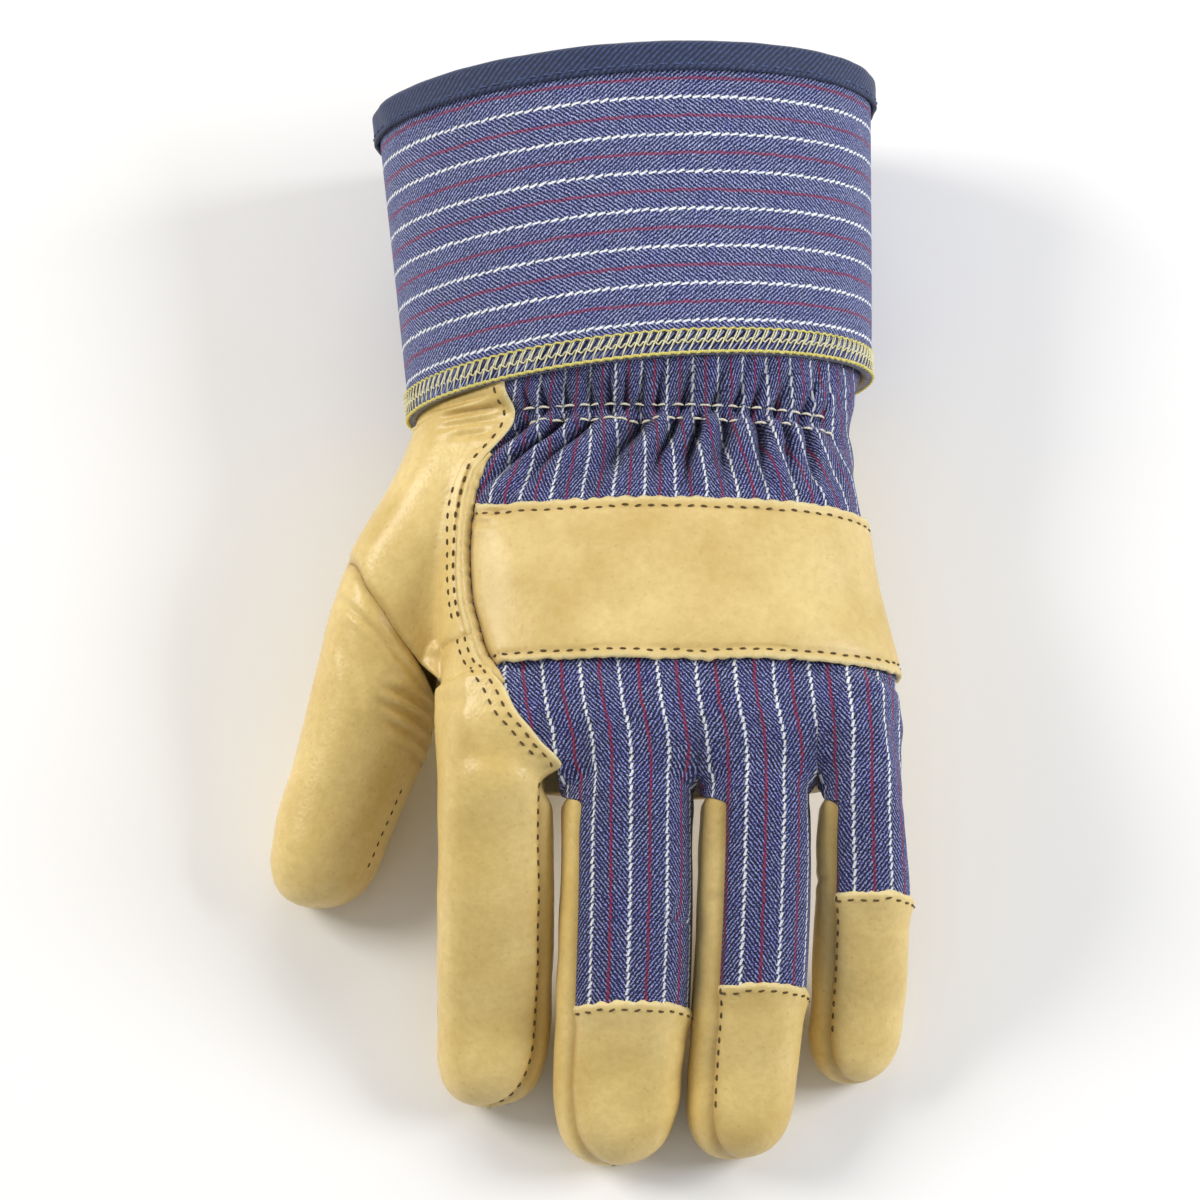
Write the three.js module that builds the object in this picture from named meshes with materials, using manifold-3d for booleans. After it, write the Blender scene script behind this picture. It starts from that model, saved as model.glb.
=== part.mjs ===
// A left-hand leather-palm work glove with a stiff safety cuff, lying on its palm.
// Millimetres, +Z up. The fingers point along -Y, the cuff opens along +Y and the thumb is on the -X side.
// The glove stands on the bound edge of its cuff, its fingertips and its thumb.
//
// Every sleeve of the glove is a limb: a tube of oval sections, one for each value of y. The limbs are lofted
// twice, once for the outside of the wall and once for the inside, joined, and hollowed. The sewn panels are
// then cut out of that one hollow wall along their seams, each seam as wide as the sewing gap.

import * as THREE from "three";
import { mergeVertices } from "three/addons/utils/BufferGeometryUtils.js";
import Module from "manifold-3d";

const wasm = await Module();
wasm.setup();

// Walls and clearances
const wall = 1.5; // grain leather, and the striped twill with its lining
const sewingGap = 0.3; // between two panels at a seam
const fingerGap = 1.1; // between two neighbouring fingers
const floorHeight = 0; // the surface that the glove lies on

// Cuff: a stiff oval tube that widens towards the mouth
const cuffLength = 71.2;
const cuffRootWidth = 106;
const cuffMouthWidth = 114.6;
const cuffRootDepth = 67;
const cuffMouthDepth = 74;
const cuffWall = 1.8;
const cuffLean = 3.5; // how far the mouth lies to the thumb's side of the wrist seam
const cuffRootSkew = THREE.MathUtils.degToRad(5.6); // both edges run up towards the little finger
const cuffMouthSkew = THREE.MathUtils.degToRad(4.2);
const cuffSag = 1.6; // how far the stiff tube is flattened underneath
const bindingWidth = 6;
const bindingWall = 1;
const seamOverlap = 8; // how far the hand runs up inside the cuff

// Hand: from the wrist seam, at y = 0, to the crotches of the fingers
const palmLength = 92;
const palmDepth = 44;
const wristHeight = 34.5; // of the middle of the wrist above the surface
const knuckleHeight = 43;
const webReach = 3.2; // the web between two fingers bulges this far past the crotch
const webRadius = 24; // the hand's rounded end
const gatherDrop = 9.8; // from the wrist seam to the gathered line on the back
const gatherDepth = 1.3; // height of a gathered fold
const gatherFolds = 16; // round the whole section, of which half lie on the back
const strapWall = 1.4;

// Thumb
const thumbLength = 113.6; // from the wrist seam to the tip, along y
const thumbReach = 74.2; // of the tip from the hand's middle, along x
const thumbWidth = 29.5;
const thumbDepth = 29;
const thumbTipRadius = 14;
const thumbTipHeight = 10;

// Fingers, from the thumb's side across. rootWidth is at the crotch and width further down, length runs
// along y from the crotch to the tip, and lean is how far the tip lies to the thumb's side.
// The panel on the back of a finger reaches from seamLeft to seamRight, in half widths of the finger, and
// a cloth finger has its leather tip past clothShare of its length.
const fingers = [
  {
    name: "index", rootWidth: 26.7, width: 26.2, depth: 24.5, length: 67.6, lean: 0.8,
    seamLeft: -1, seamRight: 0.8, clothShare: 0,
  },
  {
    name: "middle", rootWidth: 29.9, width: 29.9, depth: 26, length: 81.2, lean: 2.4,
    seamLeft: -0.72, seamRight: 1, clothShare: 0.6,
  },
  {
    name: "ring", rootWidth: 25.5, width: 25.5, depth: 24.5, length: 79.8, lean: 3.4,
    seamLeft: -0.54, seamRight: 1, clothShare: 0.56,
  },
  {
    name: "little", rootWidth: 19, width: 21.8, depth: 21, length: 62, lean: 1.8,
    seamLeft: -0.6, seamRight: 1, clothShare: 0.4,
  },
];
const fingerRootHeight = 42.5;
const fingerTipLift = 0.36; // height of a fingertip's middle above the surface, as a share of its depth
const fingerTipShare = 0.6; // the tip's rounding, as a share of the finger's width
const tipBluntness = 2.5; // 2 rounds a tip as a ball, more makes it blunter
const tipFlat = 0.2; // a round end stops this far short, on a small flat face
const fingerRootShare = 0.3; // how far a sleeve starts inside the hand, as a share of its length

// Seams on the back of the hand. along is a share of palmLength from the wrist seam.
const strapTop = 0.337;
const strapBottom = 0.75;
const indexRootAlong = 0.66; // where the back of the index finger starts beside the welt
const weltRadius = 1.1;
const weltTop = 0.2;
const weltBottom = 0.8;

// Sections of the hand. lean and wide are shares of the palm's width, deep is a share of palmDepth, and rise
// is a share of the way from wristHeight to knuckleHeight.
const handSections = [
  { along: 0.1, lean: 0.001, wide: 0.904, deep: 1.03, rise: 0 },
  { along: 0.25, lean: 0.018, wide: 0.924, deep: 1.03, rise: 0.22 },
  { along: 0.46, lean: 0.025, wide: 0.936, deep: 1.01, rise: 0.47 },
  { along: 0.64, lean: 0.046, wide: 0.962, deep: 0.98, rise: 0.72 },
  { along: 0.8, lean: 0.0627, wide: 0.99, deep: 0.94, rise: 0.94 },
  { along: 1.06, lean: 0.0623, wide: 0.987, deep: 0.9, rise: 1 },
];

// Sections of a finger, from inside the hand to the tip. along is a share of its length from the crotch,
// fill is how far its width has gone from rootWidth to width, wide and deep are shares of its width and
// depth, drop is a share of its way down from the root to the tip, and sway a share of its lean.
const fingerSections = [
  { along: -fingerRootShare, fill: 0, wide: 0.96, deep: 0.92, drop: -0.01, sway: 0 },
  { along: 0, fill: 0, wide: 0.98, deep: 1.02, drop: 0, sway: 0 },
  { along: 0.12, fill: 0.15, wide: 0.98, deep: 1.02, drop: 0.06, sway: 0.04 },
  { along: 0.37, fill: 0.75, wide: 1, deep: 1.03, drop: 0.33, sway: 0.25 },
  { along: 0.62, fill: 1, wide: 1, deep: 1.02, drop: 0.67, sway: 0.55 },
  { along: 0.8, fill: 1, wide: 0.97, deep: 0.98, drop: 0.92, sway: 0.8 },
  { along: 1, fill: 1, wide: 0.94, deep: 0.9, drop: 1, sway: 1 },
];

// Sections of the thumb. along is a share of thumbLength from the wrist seam, out of thumbReach, wide of
// thumbWidth, deep of thumbDepth, and drop of its way down from wristHeight to the tip.
const thumbSections = [
  { along: 0.045, out: 0.52, wide: 0.72, deep: 1, drop: 0.05 },
  { along: 0.2, out: 0.622, wide: 0.84, deep: 1.1, drop: 0.1 },
  { along: 0.31, out: 0.7, wide: 0.93, deep: 1.1, drop: 0.18 },
  { along: 0.405, out: 0.752, wide: 0.96, deep: 1.07, drop: 0.28 },
  { along: 0.5, out: 0.79, wide: 0.97, deep: 1.03, drop: 0.39 },
  { along: 0.605, out: 0.822, wide: 1, deep: 1, drop: 0.53 },
  { along: 0.7, out: 0.86, wide: 1.01, deep: 0.97, drop: 0.67 },
  { along: 0.8, out: 0.917, wide: 0.95, deep: 0.94, drop: 0.82 },
  { along: 0.895, out: 0.965, wide: 0.88, deep: 0.9, drop: 0.94 },
  { along: 1, out: 0.99, wide: 0.82, deep: 0.84, drop: 1 },
];

// The seam on the back of the hand between the leather of the thumb's side and the striped cloth. side is a
// share of the hand's half width there.
const backSeam = [
  { along: 0.035, side: -0.6 },
  { along: 0.13, side: -0.615 },
  { along: 0.23, side: -0.79 },
  { along: 0.35, side: -0.855 },
  { along: 0.56, side: -0.87 },
  { along: 0.73, side: -0.815 },
  { along: 0.92, side: -0.65 },
  { along: 1.04, side: -0.5 },
];

// The seam between the thumb and the hand, in the same shares.
const thumbSeam = [
  { along: 0.34, side: -1.75 },
  { along: 0.41, side: -1.44 },
  { along: 0.51, side: -1.32 },
  { along: 0.61, side: -1.19 },
  { along: 0.755, side: -1 },
  { along: 0.815, side: -1 },
];

// The power of an oval: 2 is an ellipse, more fills its corners.
const cuffSquareness = 1.9;
const handSquareness = 2.35;
const thumbSquareness = 2.1;
const fingerSquareness = 2.15;
const webNarrowing = 0.3; // how fast the rounded end of the hand narrows, against how fast it thins

// Fineness of the surfaces
const handPoints = { back: 32, palm: 12 };
const cuffPoints = { back: 16, palm: 12 };
const sleevePoints = { back: 9, palm: 7 };
const handStations = 6;
const sleeveStations = 5;
const tipStations = 4;
const seamSteps = 4;
const strapStations = 4;
const weltPoints = 7;
const weltSteps = 12;
const weltSides = 6;

const palmWidth = fingers.reduce((sum, finger) => sum + finger.rootWidth + fingerGap, -fingerGap);

// Bounds that lie well outside the glove
const farAway = 4 * palmWidth;
const skyHeight = 2 * (cuffMouthDepth + palmDepth + knuckleHeight);

// The columns of a table at one value of along, on a smooth curve through its rows.
function rowAt(rows, along) {
  const last = rows.length - 2;
  let i = rows.findIndex((row) => row.along > along) - 1;
  i = i < 0 ? (along < rows[0].along ? 0 : last) : i;
  const span = rows[i + 1].along - rows[i].along;
  const t = THREE.MathUtils.clamp((along - rows[i].along) / span, 0, 1);
  const slope = (k, column) => {
    const [a, b] = [rows[Math.max(k - 1, 0)], rows[Math.min(k + 1, rows.length - 1)]];
    return ((b[column] - a[column]) / (b.along - a.along)) * span;
  };
  const found = {};
  for (const column of Object.keys(rows[0])) {
    const [p, q] = [rows[i][column], rows[i + 1][column]];
    const [m, n] = [slope(i, column), slope(i + 1, column)];
    const [t2, t3] = [t * t, t * t * t];
    found[column] =
      (2 * t3 - 3 * t2 + 1) * p + (t3 - 2 * t2 + t) * m + (3 * t2 - 2 * t3) * q + (t3 - t2) * n;
  }
  return found;
}

// The share of full size that a sleeve keeps at a distance from its round end.
function roundEnd(distance, radius) {
  const t = THREE.MathUtils.clamp(1 - distance / radius, 0, 1);
  return Math.pow(1 - Math.pow(t, tipBluntness), 1 / tipBluntness);
}

// Limbs. section(y, grow) gives the oval at y, with its wall's surface moved out by grow: the middle x and z,
// the half width and half depth, how square the oval is, and its skew, which is the rise of y along x.

const cuff = {
  from: cuffLength,
  to: 0,
  section(y, grow = 0) {
    const t = y / cuffLength;
    const halfDepth = THREE.MathUtils.lerp(cuffRootDepth, cuffMouthDepth, t) / 2;
    return {
      x: -cuffLean * t,
      z: bindingWall + sewingGap + halfDepth - cuffSag,
      halfWidth: THREE.MathUtils.lerp(cuffRootWidth, cuffMouthWidth, t) / 2 + grow,
      halfDepth: halfDepth + grow,
      square: cuffSquareness,
      skew: THREE.MathUtils.lerp(Math.tan(cuffRootSkew), Math.tan(cuffMouthSkew), t),
      lowest: bindingWall + sewingGap - grow,
    };
  },
};

const handBelowSeam = (y, grow) => {
  const row = rowAt(handSections, -y / palmLength);
  const end = roundEnd(y + palmLength + webReach + grow, webRadius + grow);
  return {
    x: row.lean * palmWidth,
    z: THREE.MathUtils.lerp(wristHeight, knuckleHeight, row.rise),
    halfWidth: ((row.wide * palmWidth) / 2 + grow) * Math.pow(end, webNarrowing),
    halfDepth: ((row.deep * palmDepth) / 2 + grow) * end,
    square: handSquareness,
    skew: 0,
    lowest: floorHeight - grow,
  };
};

const hand = {
  from: seamOverlap,
  to: -(palmLength + webReach),
  section(y, grow = 0) {
    const inCuff = cuff.section(Math.max(y, 0), grow - cuffWall - sewingGap);
    const below = handBelowSeam(Math.min(y, -gatherDrop), grow);
    const t = THREE.MathUtils.smoothstep(y, -gatherDrop, 0);
    const mixed = {};
    for (const key of Object.keys(below)) mixed[key] = THREE.MathUtils.lerp(below[key], inCuff[key], t);
    mixed.gather = gatherDepth * (y > -gatherDrop ? 1 - t : Math.exp(-Math.pow(1 + y / gatherDrop, 2)));
    return mixed;
  },
};

const thumb = {
  from: -thumbLength * thumbSections[0].along,
  to: -thumbLength,
  tipRadius: thumbTipRadius,
  section(y, grow = 0) {
    const row = rowAt(thumbSections, -y / thumbLength);
    const end = roundEnd(y + thumbLength + grow, thumbTipRadius + grow);
    return {
      x: -row.out * thumbReach,
      z: THREE.MathUtils.lerp(wristHeight, thumbTipHeight, row.drop),
      halfWidth: ((row.wide * thumbWidth) / 2 + grow) * end,
      halfDepth: ((row.deep * thumbDepth) / 2 + grow) * end,
      square: thumbSquareness,
      skew: 0,
      lowest: floorHeight - grow,
    };
  },
};

// The finger sleeves lie side by side across the end of the hand, fingerGap apart. Each keeps its edge on
// the thumb's side straight, and takes its changes of width on the other.
let fingerEdge = handBelowSeam(-palmLength, 0).x - palmWidth / 2;
const sleeves = fingers.map((finger) => {
  const rootEdge = fingerEdge;
  fingerEdge += finger.rootWidth + fingerGap;
  const tipRadius = finger.width * fingerTipShare;
  return {
    ...finger,
    from: -palmLength + finger.length * fingerRootShare,
    to: -palmLength - finger.length,
    tipRadius,
    section(y, grow = 0) {
      const row = rowAt(fingerSections, -(y + palmLength) / finger.length);
      const end = roundEnd(y + palmLength + finger.length + grow, tipRadius + grow);
      const halfWidth = (row.wide * THREE.MathUtils.lerp(finger.rootWidth, finger.width, row.fill)) / 2;
      return {
        x: rootEdge + halfWidth - row.sway * finger.lean,
        z: THREE.MathUtils.lerp(fingerRootHeight, finger.depth * fingerTipLift, row.drop),
        halfWidth: (halfWidth + grow) * end,
        halfDepth: ((row.deep * finger.depth) / 2 + grow) * end,
        square: fingerSquareness,
        skew: 0,
        lowest: floorHeight - grow,
      };
    },
  };
});

// Turns a BufferGeometry into a manifold solid.
function solidOf(geometry) {
  const bare = geometry.index ? geometry.toNonIndexed() : geometry;
  const plain = new THREE.BufferGeometry().setAttribute("position", bare.getAttribute("position"));
  const merged = mergeVertices(plain);
  return new wasm.Manifold(
    new wasm.Mesh({
      numProp: 3,
      vertProperties: new Float32Array(merged.attributes.position.array),
      triVerts: new Uint32Array(merged.index.array),
    }),
  );
}

// One ring of points round a section, counter-clockwise seen from +Y, flattened where it meets the surface.
function ring(limb, y, grow, points) {
  const oval = limb.section(y, grow);
  const count = points.back + points.palm;
  return Array.from({ length: count }, (_, i) => {
    const angle =
      i < points.back ? (Math.PI * i) / points.back : Math.PI * (1 + (i - points.back) / points.palm);
    const [cos, sin] = [Math.cos(angle), Math.sin(angle)];
    const power = 2 / oval.square;
    const x = oval.halfWidth * Math.sign(cos) * Math.pow(Math.abs(cos), power);
    const z = oval.halfDepth * Math.sign(sin) * Math.pow(Math.abs(sin), power);
    const fold = (oval.gather ?? 0) * Math.max(sin, 0) * Math.cos(gatherFolds * angle);
    return new THREE.Vector3(
      oval.x + x,
      y + oval.skew * x,
      Math.max(oval.z + z + fold, oval.lowest),
    );
  });
}

// A closed tube through the limb's rings at each station, from high y to low y.
function loft(limb, grow, points, stations) {
  const rings = stations.map((y) => ring(limb, y, grow, points));
  const count = rings[0].length;
  const positions = [];
  const push = (...corners) => corners.forEach((p) => positions.push(p.x, p.y, p.z));
  const middle = (loop) => loop.reduce((sum, p) => sum.add(p), new THREE.Vector3()).divideScalar(count);
  const [startMiddle, endMiddle] = [middle(rings[0]), middle(rings.at(-1))];
  for (let i = 0; i < count; i++) {
    const j = (i + 1) % count;
    push(startMiddle, rings[0][j], rings[0][i]);
    push(endMiddle, rings.at(-1)[i], rings.at(-1)[j]);
    for (let k = 0; k + 1 < rings.length; k++) {
      push(rings[k][i], rings[k][j], rings[k + 1][j]);
      push(rings[k][i], rings[k + 1][j], rings[k + 1][i]);
    }
  }
  const geometry = new THREE.BufferGeometry();
  return solidOf(geometry.setAttribute("position", new THREE.Float32BufferAttribute(positions, 3)));
}

// Stations from y = from to y = to, closer together near a round end at to.
function stationsBetween(from, to, count, endShare) {
  return Array.from({ length: count }, (_, i) => {
    const t = i / (count - 1);
    return THREE.MathUtils.lerp(from, to, THREE.MathUtils.lerp(t, Math.sin((t * Math.PI) / 2), endShare));
  });
}

// A prism over an outline of [x, y] points, from z = low to z = high.
function planPrism(outline, low, high) {
  const shape = new THREE.Shape(outline.map(([x, y]) => new THREE.Vector2(x, y)));
  const geometry = new THREE.ExtrudeGeometry(shape, { depth: high - low, bevelEnabled: false });
  return solidOf(geometry.translate(0, 0, low));
}

// Everything above a limb's sides, from y = from down to y = to. sink lowers it.
function aboveSides(limb, from, to, sink) {
  const line = Array.from({ length: seamSteps + 1 }, (_, i) => {
    const y = THREE.MathUtils.lerp(from, to, i / seamSteps);
    const inside = THREE.MathUtils.clamp(y, limb.to, limb.from);
    return new THREE.Vector2(y, limb.section(inside).z - sink);
  });
  const sky = [new THREE.Vector2(to, skyHeight), new THREE.Vector2(from, skyHeight)];
  const shape = new THREE.Shape([...line, ...sky]);
  const geometry = new THREE.ExtrudeGeometry(shape, { depth: 2 * farAway, bevelEnabled: false });
  const axes = new THREE.Matrix4().makeBasis(
    new THREE.Vector3(0, 1, 0),
    new THREE.Vector3(0, 0, 1),
    new THREE.Vector3(1, 0, 0),
  );
  return solidOf(geometry.applyMatrix4(axes).translate(-farAway, 0, 0));
}

// A share of the palm's length as y, and a share of the hand's half width there as x.
const handY = (along) => -along * palmLength;
const handX = (along, side) => {
  const oval = hand.section(Math.max(handY(along), hand.to + webRadius / 2));
  return oval.x + side * oval.halfWidth;
};
const seamSide = (along) => rowAt(backSeam, along).side;

// Everything within an outline, all the way through the glove.
const throughPrism = (outline) => planPrism(outline, -skyHeight, skyHeight);

// A strip along a sleeve from y = from to y = to, between two distances from its middle line, in half widths.
function sleeveStrip(sleeve, from, to, left, right, grow) {
  const lastOval = sleeve.to + sleeve.tipRadius;
  const side = (share, way) =>
    Array.from({ length: seamSteps + 1 }, (_, i) => {
      const y = THREE.MathUtils.lerp(from + grow, to - grow, i / seamSteps);
      const oval = sleeve.section(Math.max(y, lastOval));
      const atEdge = Math.abs(share) >= 1;
      return [oval.x + share * oval.halfWidth + way * (atEdge ? fingerGap / 2 : grow), y];
    });
  return throughPrism([...side(left, -1), ...side(right, 1).reverse()]);
}

const clothEnd = (sleeve) => -palmLength - sleeve.clothShare * sleeve.length;

function fingerBack(sleeve, from, to, grow) {
  const strip = sleeveStrip(sleeve, from, to, sleeve.seamLeft, sleeve.seamRight, grow);
  return strip.intersect(aboveSides(sleeve, from + wall, to - wall, grow));
}

function clothRegion(grow) {
  const seam = backSeam.map(({ along, side }) => [handX(along, side) - grow, handY(along)]);
  const [top, bottom] = [2 * seamOverlap, seam.at(-1)[1] - grow];
  const outline = [[seam[0][0], top], ...seam, [seam.at(-1)[0], bottom], [farAway, bottom], [farAway, top]];
  const onHand = throughPrism(outline).intersect(aboveSides(hand, top, bottom - wall, grow));
  return sleeves
    .filter((sleeve) => sleeve.clothShare > 0)
    .reduce((sum, sleeve) => sum.add(fingerBack(sleeve, bottom + webReach, clothEnd(sleeve), grow)), onHand);
}

function thumbRegion(grow) {
  const seam = thumbSeam.map(({ along, side }) => [handX(along, side) + grow, handY(along) + grow]);
  const index = sleeves[0];
  const beside = (y) => {
    const oval = index.section(Math.min(y, index.from));
    return [oval.x - oval.halfWidth - fingerGap / 2, y];
  };
  const end = thumb.to - wall;
  const besideIndex = [seam.at(-1)[1] - webReach, end].map(beside);
  const outline = [...seam, ...besideIndex, [-farAway, end], [-farAway, seam[0][1]]];
  return throughPrism(outline.reverse());
}

function indexRegion(grow) {
  const index = sleeves[0];
  const [root, end] = [handY(indexRootAlong) + grow, handY(backSeam.at(-1).along)];
  const seam = backSeam.filter((point) => point.along > indexRootAlong);
  const right = seam.map(({ along, side }) => [handX(along, side), handY(along)]);
  const corner = [handX(indexRootAlong, seamSide(indexRootAlong)), root];
  const outline = [corner, ...right, [-farAway, end], [-farAway, root]];
  const onHand = throughPrism(outline.reverse()).intersect(aboveSides(hand, root + wall, end - wall, grow));
  return onHand.add(fingerBack(index, end + webReach, index.to - wall, grow));
}

// The panels in the order in which they are cut out of the wall. What is left at the end is the palm.
const cuts = [
  ["back_cloth", clothRegion],
  ...sleeves
    .filter((sleeve) => sleeve.clothShare > 0)
    .map((sleeve) => [
      `${sleeve.name}_tip`,
      (grow) => fingerBack(sleeve, clothEnd(sleeve) + wall, sleeve.to - wall, grow),
    ]),
  ["thumb", thumbRegion],
  ["index_back", indexRegion],
  ...sleeves.map((sleeve) => [
    `${sleeve.name}_front`,
    (grow) => sleeveStrip(sleeve, hand.to, sleeve.to - wall, -1, 1, grow),
  ]),
];

const handLines = [
  hand.from,
  0,
  -gatherDrop / 2,
  -gatherDrop,
  THREE.MathUtils.lerp(-gatherDrop, handY(strapTop), 0.4),
  ...stationsBetween(handY(strapTop) + wall, hand.to + tipFlat, handStations, 0.5),
];
const innerHandLines = [hand.from + wall, ...handLines.slice(1, -1), hand.to + tipFlat + wall];

// Even stations down to the rounding of the tip, and closer ones round it.
function sleeveSolid(limb, grow) {
  const [end, radius] = [limb.to - grow, limb.tipRadius + grow];
  const straight = stationsBetween(limb.from, end + radius, sleeveStations + 1, 0);
  const round = stationsBetween(end + radius, end + tipFlat, tipStations + 1, 1);
  return loft(limb, grow, sleevePoints, [...straight, ...round.slice(1)]);
}

// The hand with its five sleeves, its surface moved out by grow.
const gloveSolid = (grow, lines) =>
  [thumb, ...sleeves].reduce(
    (sum, limb) => sum.add(sleeveSolid(limb, grow)),
    loft(hand, grow, handPoints, lines),
  );

// The largest body of a solid: a cut along a curved wall can leave crumbs of less than a cubic millimetre.
function mainBody(solid) {
  return solid.decompose().reduce((best, body) => (body.volume() > best.volume() ? body : best));
}

const panels = {};
let leather = gloveSolid(0, handLines).subtract(gloveSolid(-wall, innerHandLines));
for (const [name, region] of cuts) {
  panels[name] = mainBody(leather.intersect(region(0)));
  leather = leather.subtract(region(sewingGap));
}
panels.palm = mainBody(leather);

// A tube with a wall between two sizes of one limb.
const hollowTube = (limb, outer, inner, points, stations, past) =>
  loft(limb, outer, points, stations).subtract(
    loft(limb, inner, points, [stations[0] + past, ...stations.slice(1, -1), stations.at(-1) - past]),
  );

// The strap lies on the cloth, from the welt round to the little finger's side.
const strapLines = stationsBetween(handY(strapTop) + wall, handY(strapBottom) - wall, strapStations, 0);
const strapLayer = hollowTube(hand, sewingGap + strapWall, sewingGap, handPoints, strapLines, wall);
const besideWelt = weltRadius + 2 * sewingGap;
const strapEdge = backSeam.map(({ along, side }) => [handX(along, side) + besideWelt, handY(along)]);
const strapSpan = throughPrism([
  [-farAway, handY(strapTop)],
  [-farAway, handY(strapBottom)],
  [farAway, handY(strapBottom)],
  [farAway, handY(strapTop)],
]);
const strapSide = throughPrism([...strapEdge, [farAway, strapEdge.at(-1)[1]], [farAway, strapEdge[0][1]]]);
const strapCut = strapSpan.intersect(strapSide).intersect(aboveSides(hand, 0, hand.to, 0));
panels.knuckle_strap = mainBody(strapLayer.intersect(strapCut));

// The welt is a rolled strip of leather that stands on the seam beside the strap.
const weltPath = new THREE.CatmullRomCurve3(
  Array.from({ length: weltPoints }, (_, i) => {
    const along = THREE.MathUtils.lerp(weltTop, weltBottom, i / (weltPoints - 1));
    const oval = hand.section(handY(along));
    const side = seamSide(along);
    const height = oval.halfDepth * Math.pow(1 - Math.pow(Math.abs(side), oval.square), 1 / oval.square);
    const out = weltRadius + sewingGap;
    return new THREE.Vector3(oval.x + side * (oval.halfWidth + out), handY(along), oval.z + height + out);
  }),
);
const weltSection = new THREE.Shape(
  Array.from({ length: weltSides }, (_, i) => {
    const angle = (2 * Math.PI * i) / weltSides;
    return new THREE.Vector2(weltRadius * Math.cos(angle), weltRadius * Math.sin(angle));
  }),
);
panels.back_welt = solidOf(
  new THREE.ExtrudeGeometry(weltSection, { extrudePath: weltPath, steps: weltSteps, bevelEnabled: false }),
);

panels.cuff = hollowTube(cuff, 0, -cuffWall, cuffPoints, [cuffLength, 0], wall);

// The binding is folded over the mouth of the cuff.
const bindingOut = sewingGap + bindingWall;
const overMouth = (out, from) =>
  hollowTube(cuff, out, -cuffWall - out, cuffPoints, [cuffLength + out, from], wall);
panels.cuff_binding = overMouth(bindingOut, cuffLength - bindingWidth).subtract(
  overMouth(sewingGap, cuffLength - bindingWidth - wall),
);

const looks = {
  leather: new THREE.MeshStandardMaterial({ color: "#d8bd7c", roughness: 0.55, metalness: 0 }),
  stripe: new THREE.MeshStandardMaterial({ color: "#4b5088", roughness: 0.9, metalness: 0 }),
  binding: new THREE.MeshStandardMaterial({ color: "#25335d", roughness: 0.85, metalness: 0 }),
};
const lookOf = { back_cloth: looks.stripe, cuff: looks.stripe, cuff_binding: looks.binding };

function meshOf(name, solid) {
  const { numProp, vertProperties, triVerts } = solid.getMesh();
  const corners = Array.from(triVerts, (v) => [...vertProperties.slice(v * numProp, v * numProp + 3)]).flat();
  const geometry = new THREE.BufferGeometry();
  geometry.setAttribute("position", new THREE.Float32BufferAttribute(corners, 3));
  geometry.computeVertexNormals();
  const mesh = new THREE.Mesh(geometry, lookOf[name] ?? looks.leather);
  mesh.name = name;
  return mesh;
}

const glove = new THREE.Group();
for (const [name, solid] of Object.entries(panels)) glove.add(meshOf(name, solid));

// The origin is under the middle of the glove, on the surface that it lies on.
const box = new THREE.Box3().setFromObject(glove);
const middle = box.getCenter(new THREE.Vector3());
glove.position.set(-middle.x, -middle.y, -box.min.z);

export default glove;
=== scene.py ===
"""A leather-palm work glove with a striped cloth back, dressed over its frame.

Millimetres are used for every size, in the glove's own axes: the wrist seam is at y = 0, the fingers point
along -Y, the cuff opens along +Y and the thumb is on the -X side. A mesh is turned to metres when it is made.
"""

import math
from functools import lru_cache

import bmesh
import bpy
import numpy as np
from bpy.props import FloatProperty, PointerProperty, StringProperty
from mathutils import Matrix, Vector


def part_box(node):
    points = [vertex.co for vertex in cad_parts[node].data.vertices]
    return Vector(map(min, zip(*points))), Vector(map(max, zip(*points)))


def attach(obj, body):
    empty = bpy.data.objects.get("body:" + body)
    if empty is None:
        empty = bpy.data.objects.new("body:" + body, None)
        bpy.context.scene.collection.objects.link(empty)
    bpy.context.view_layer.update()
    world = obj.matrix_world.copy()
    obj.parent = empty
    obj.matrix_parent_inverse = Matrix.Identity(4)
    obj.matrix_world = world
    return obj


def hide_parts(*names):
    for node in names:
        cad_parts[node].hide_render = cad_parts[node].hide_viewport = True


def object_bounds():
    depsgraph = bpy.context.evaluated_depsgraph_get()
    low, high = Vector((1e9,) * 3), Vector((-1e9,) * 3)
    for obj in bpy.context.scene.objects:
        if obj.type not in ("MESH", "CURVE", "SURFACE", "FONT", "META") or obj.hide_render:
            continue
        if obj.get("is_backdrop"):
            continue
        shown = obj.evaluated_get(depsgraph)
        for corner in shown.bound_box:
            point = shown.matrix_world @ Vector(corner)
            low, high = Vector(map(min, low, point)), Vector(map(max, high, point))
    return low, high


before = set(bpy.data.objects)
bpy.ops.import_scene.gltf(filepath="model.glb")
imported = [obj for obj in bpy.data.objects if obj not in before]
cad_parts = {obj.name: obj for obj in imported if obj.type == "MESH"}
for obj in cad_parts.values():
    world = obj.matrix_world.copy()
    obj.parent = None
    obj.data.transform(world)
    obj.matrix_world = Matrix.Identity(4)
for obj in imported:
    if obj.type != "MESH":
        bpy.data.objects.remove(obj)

bl_info = {
    "name": "Leather-palm work glove",
    "version": (1, 0, 0),
    "blender": (4, 5, 0),
    "location": "3D View > Sidebar > Glove",
    "description": "Builds the cloth, leather, seams and cuff of a work glove over its frame",
    "category": "Add Mesh",
}

MILLIMETRE = 0.001
BODY = "root"

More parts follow.
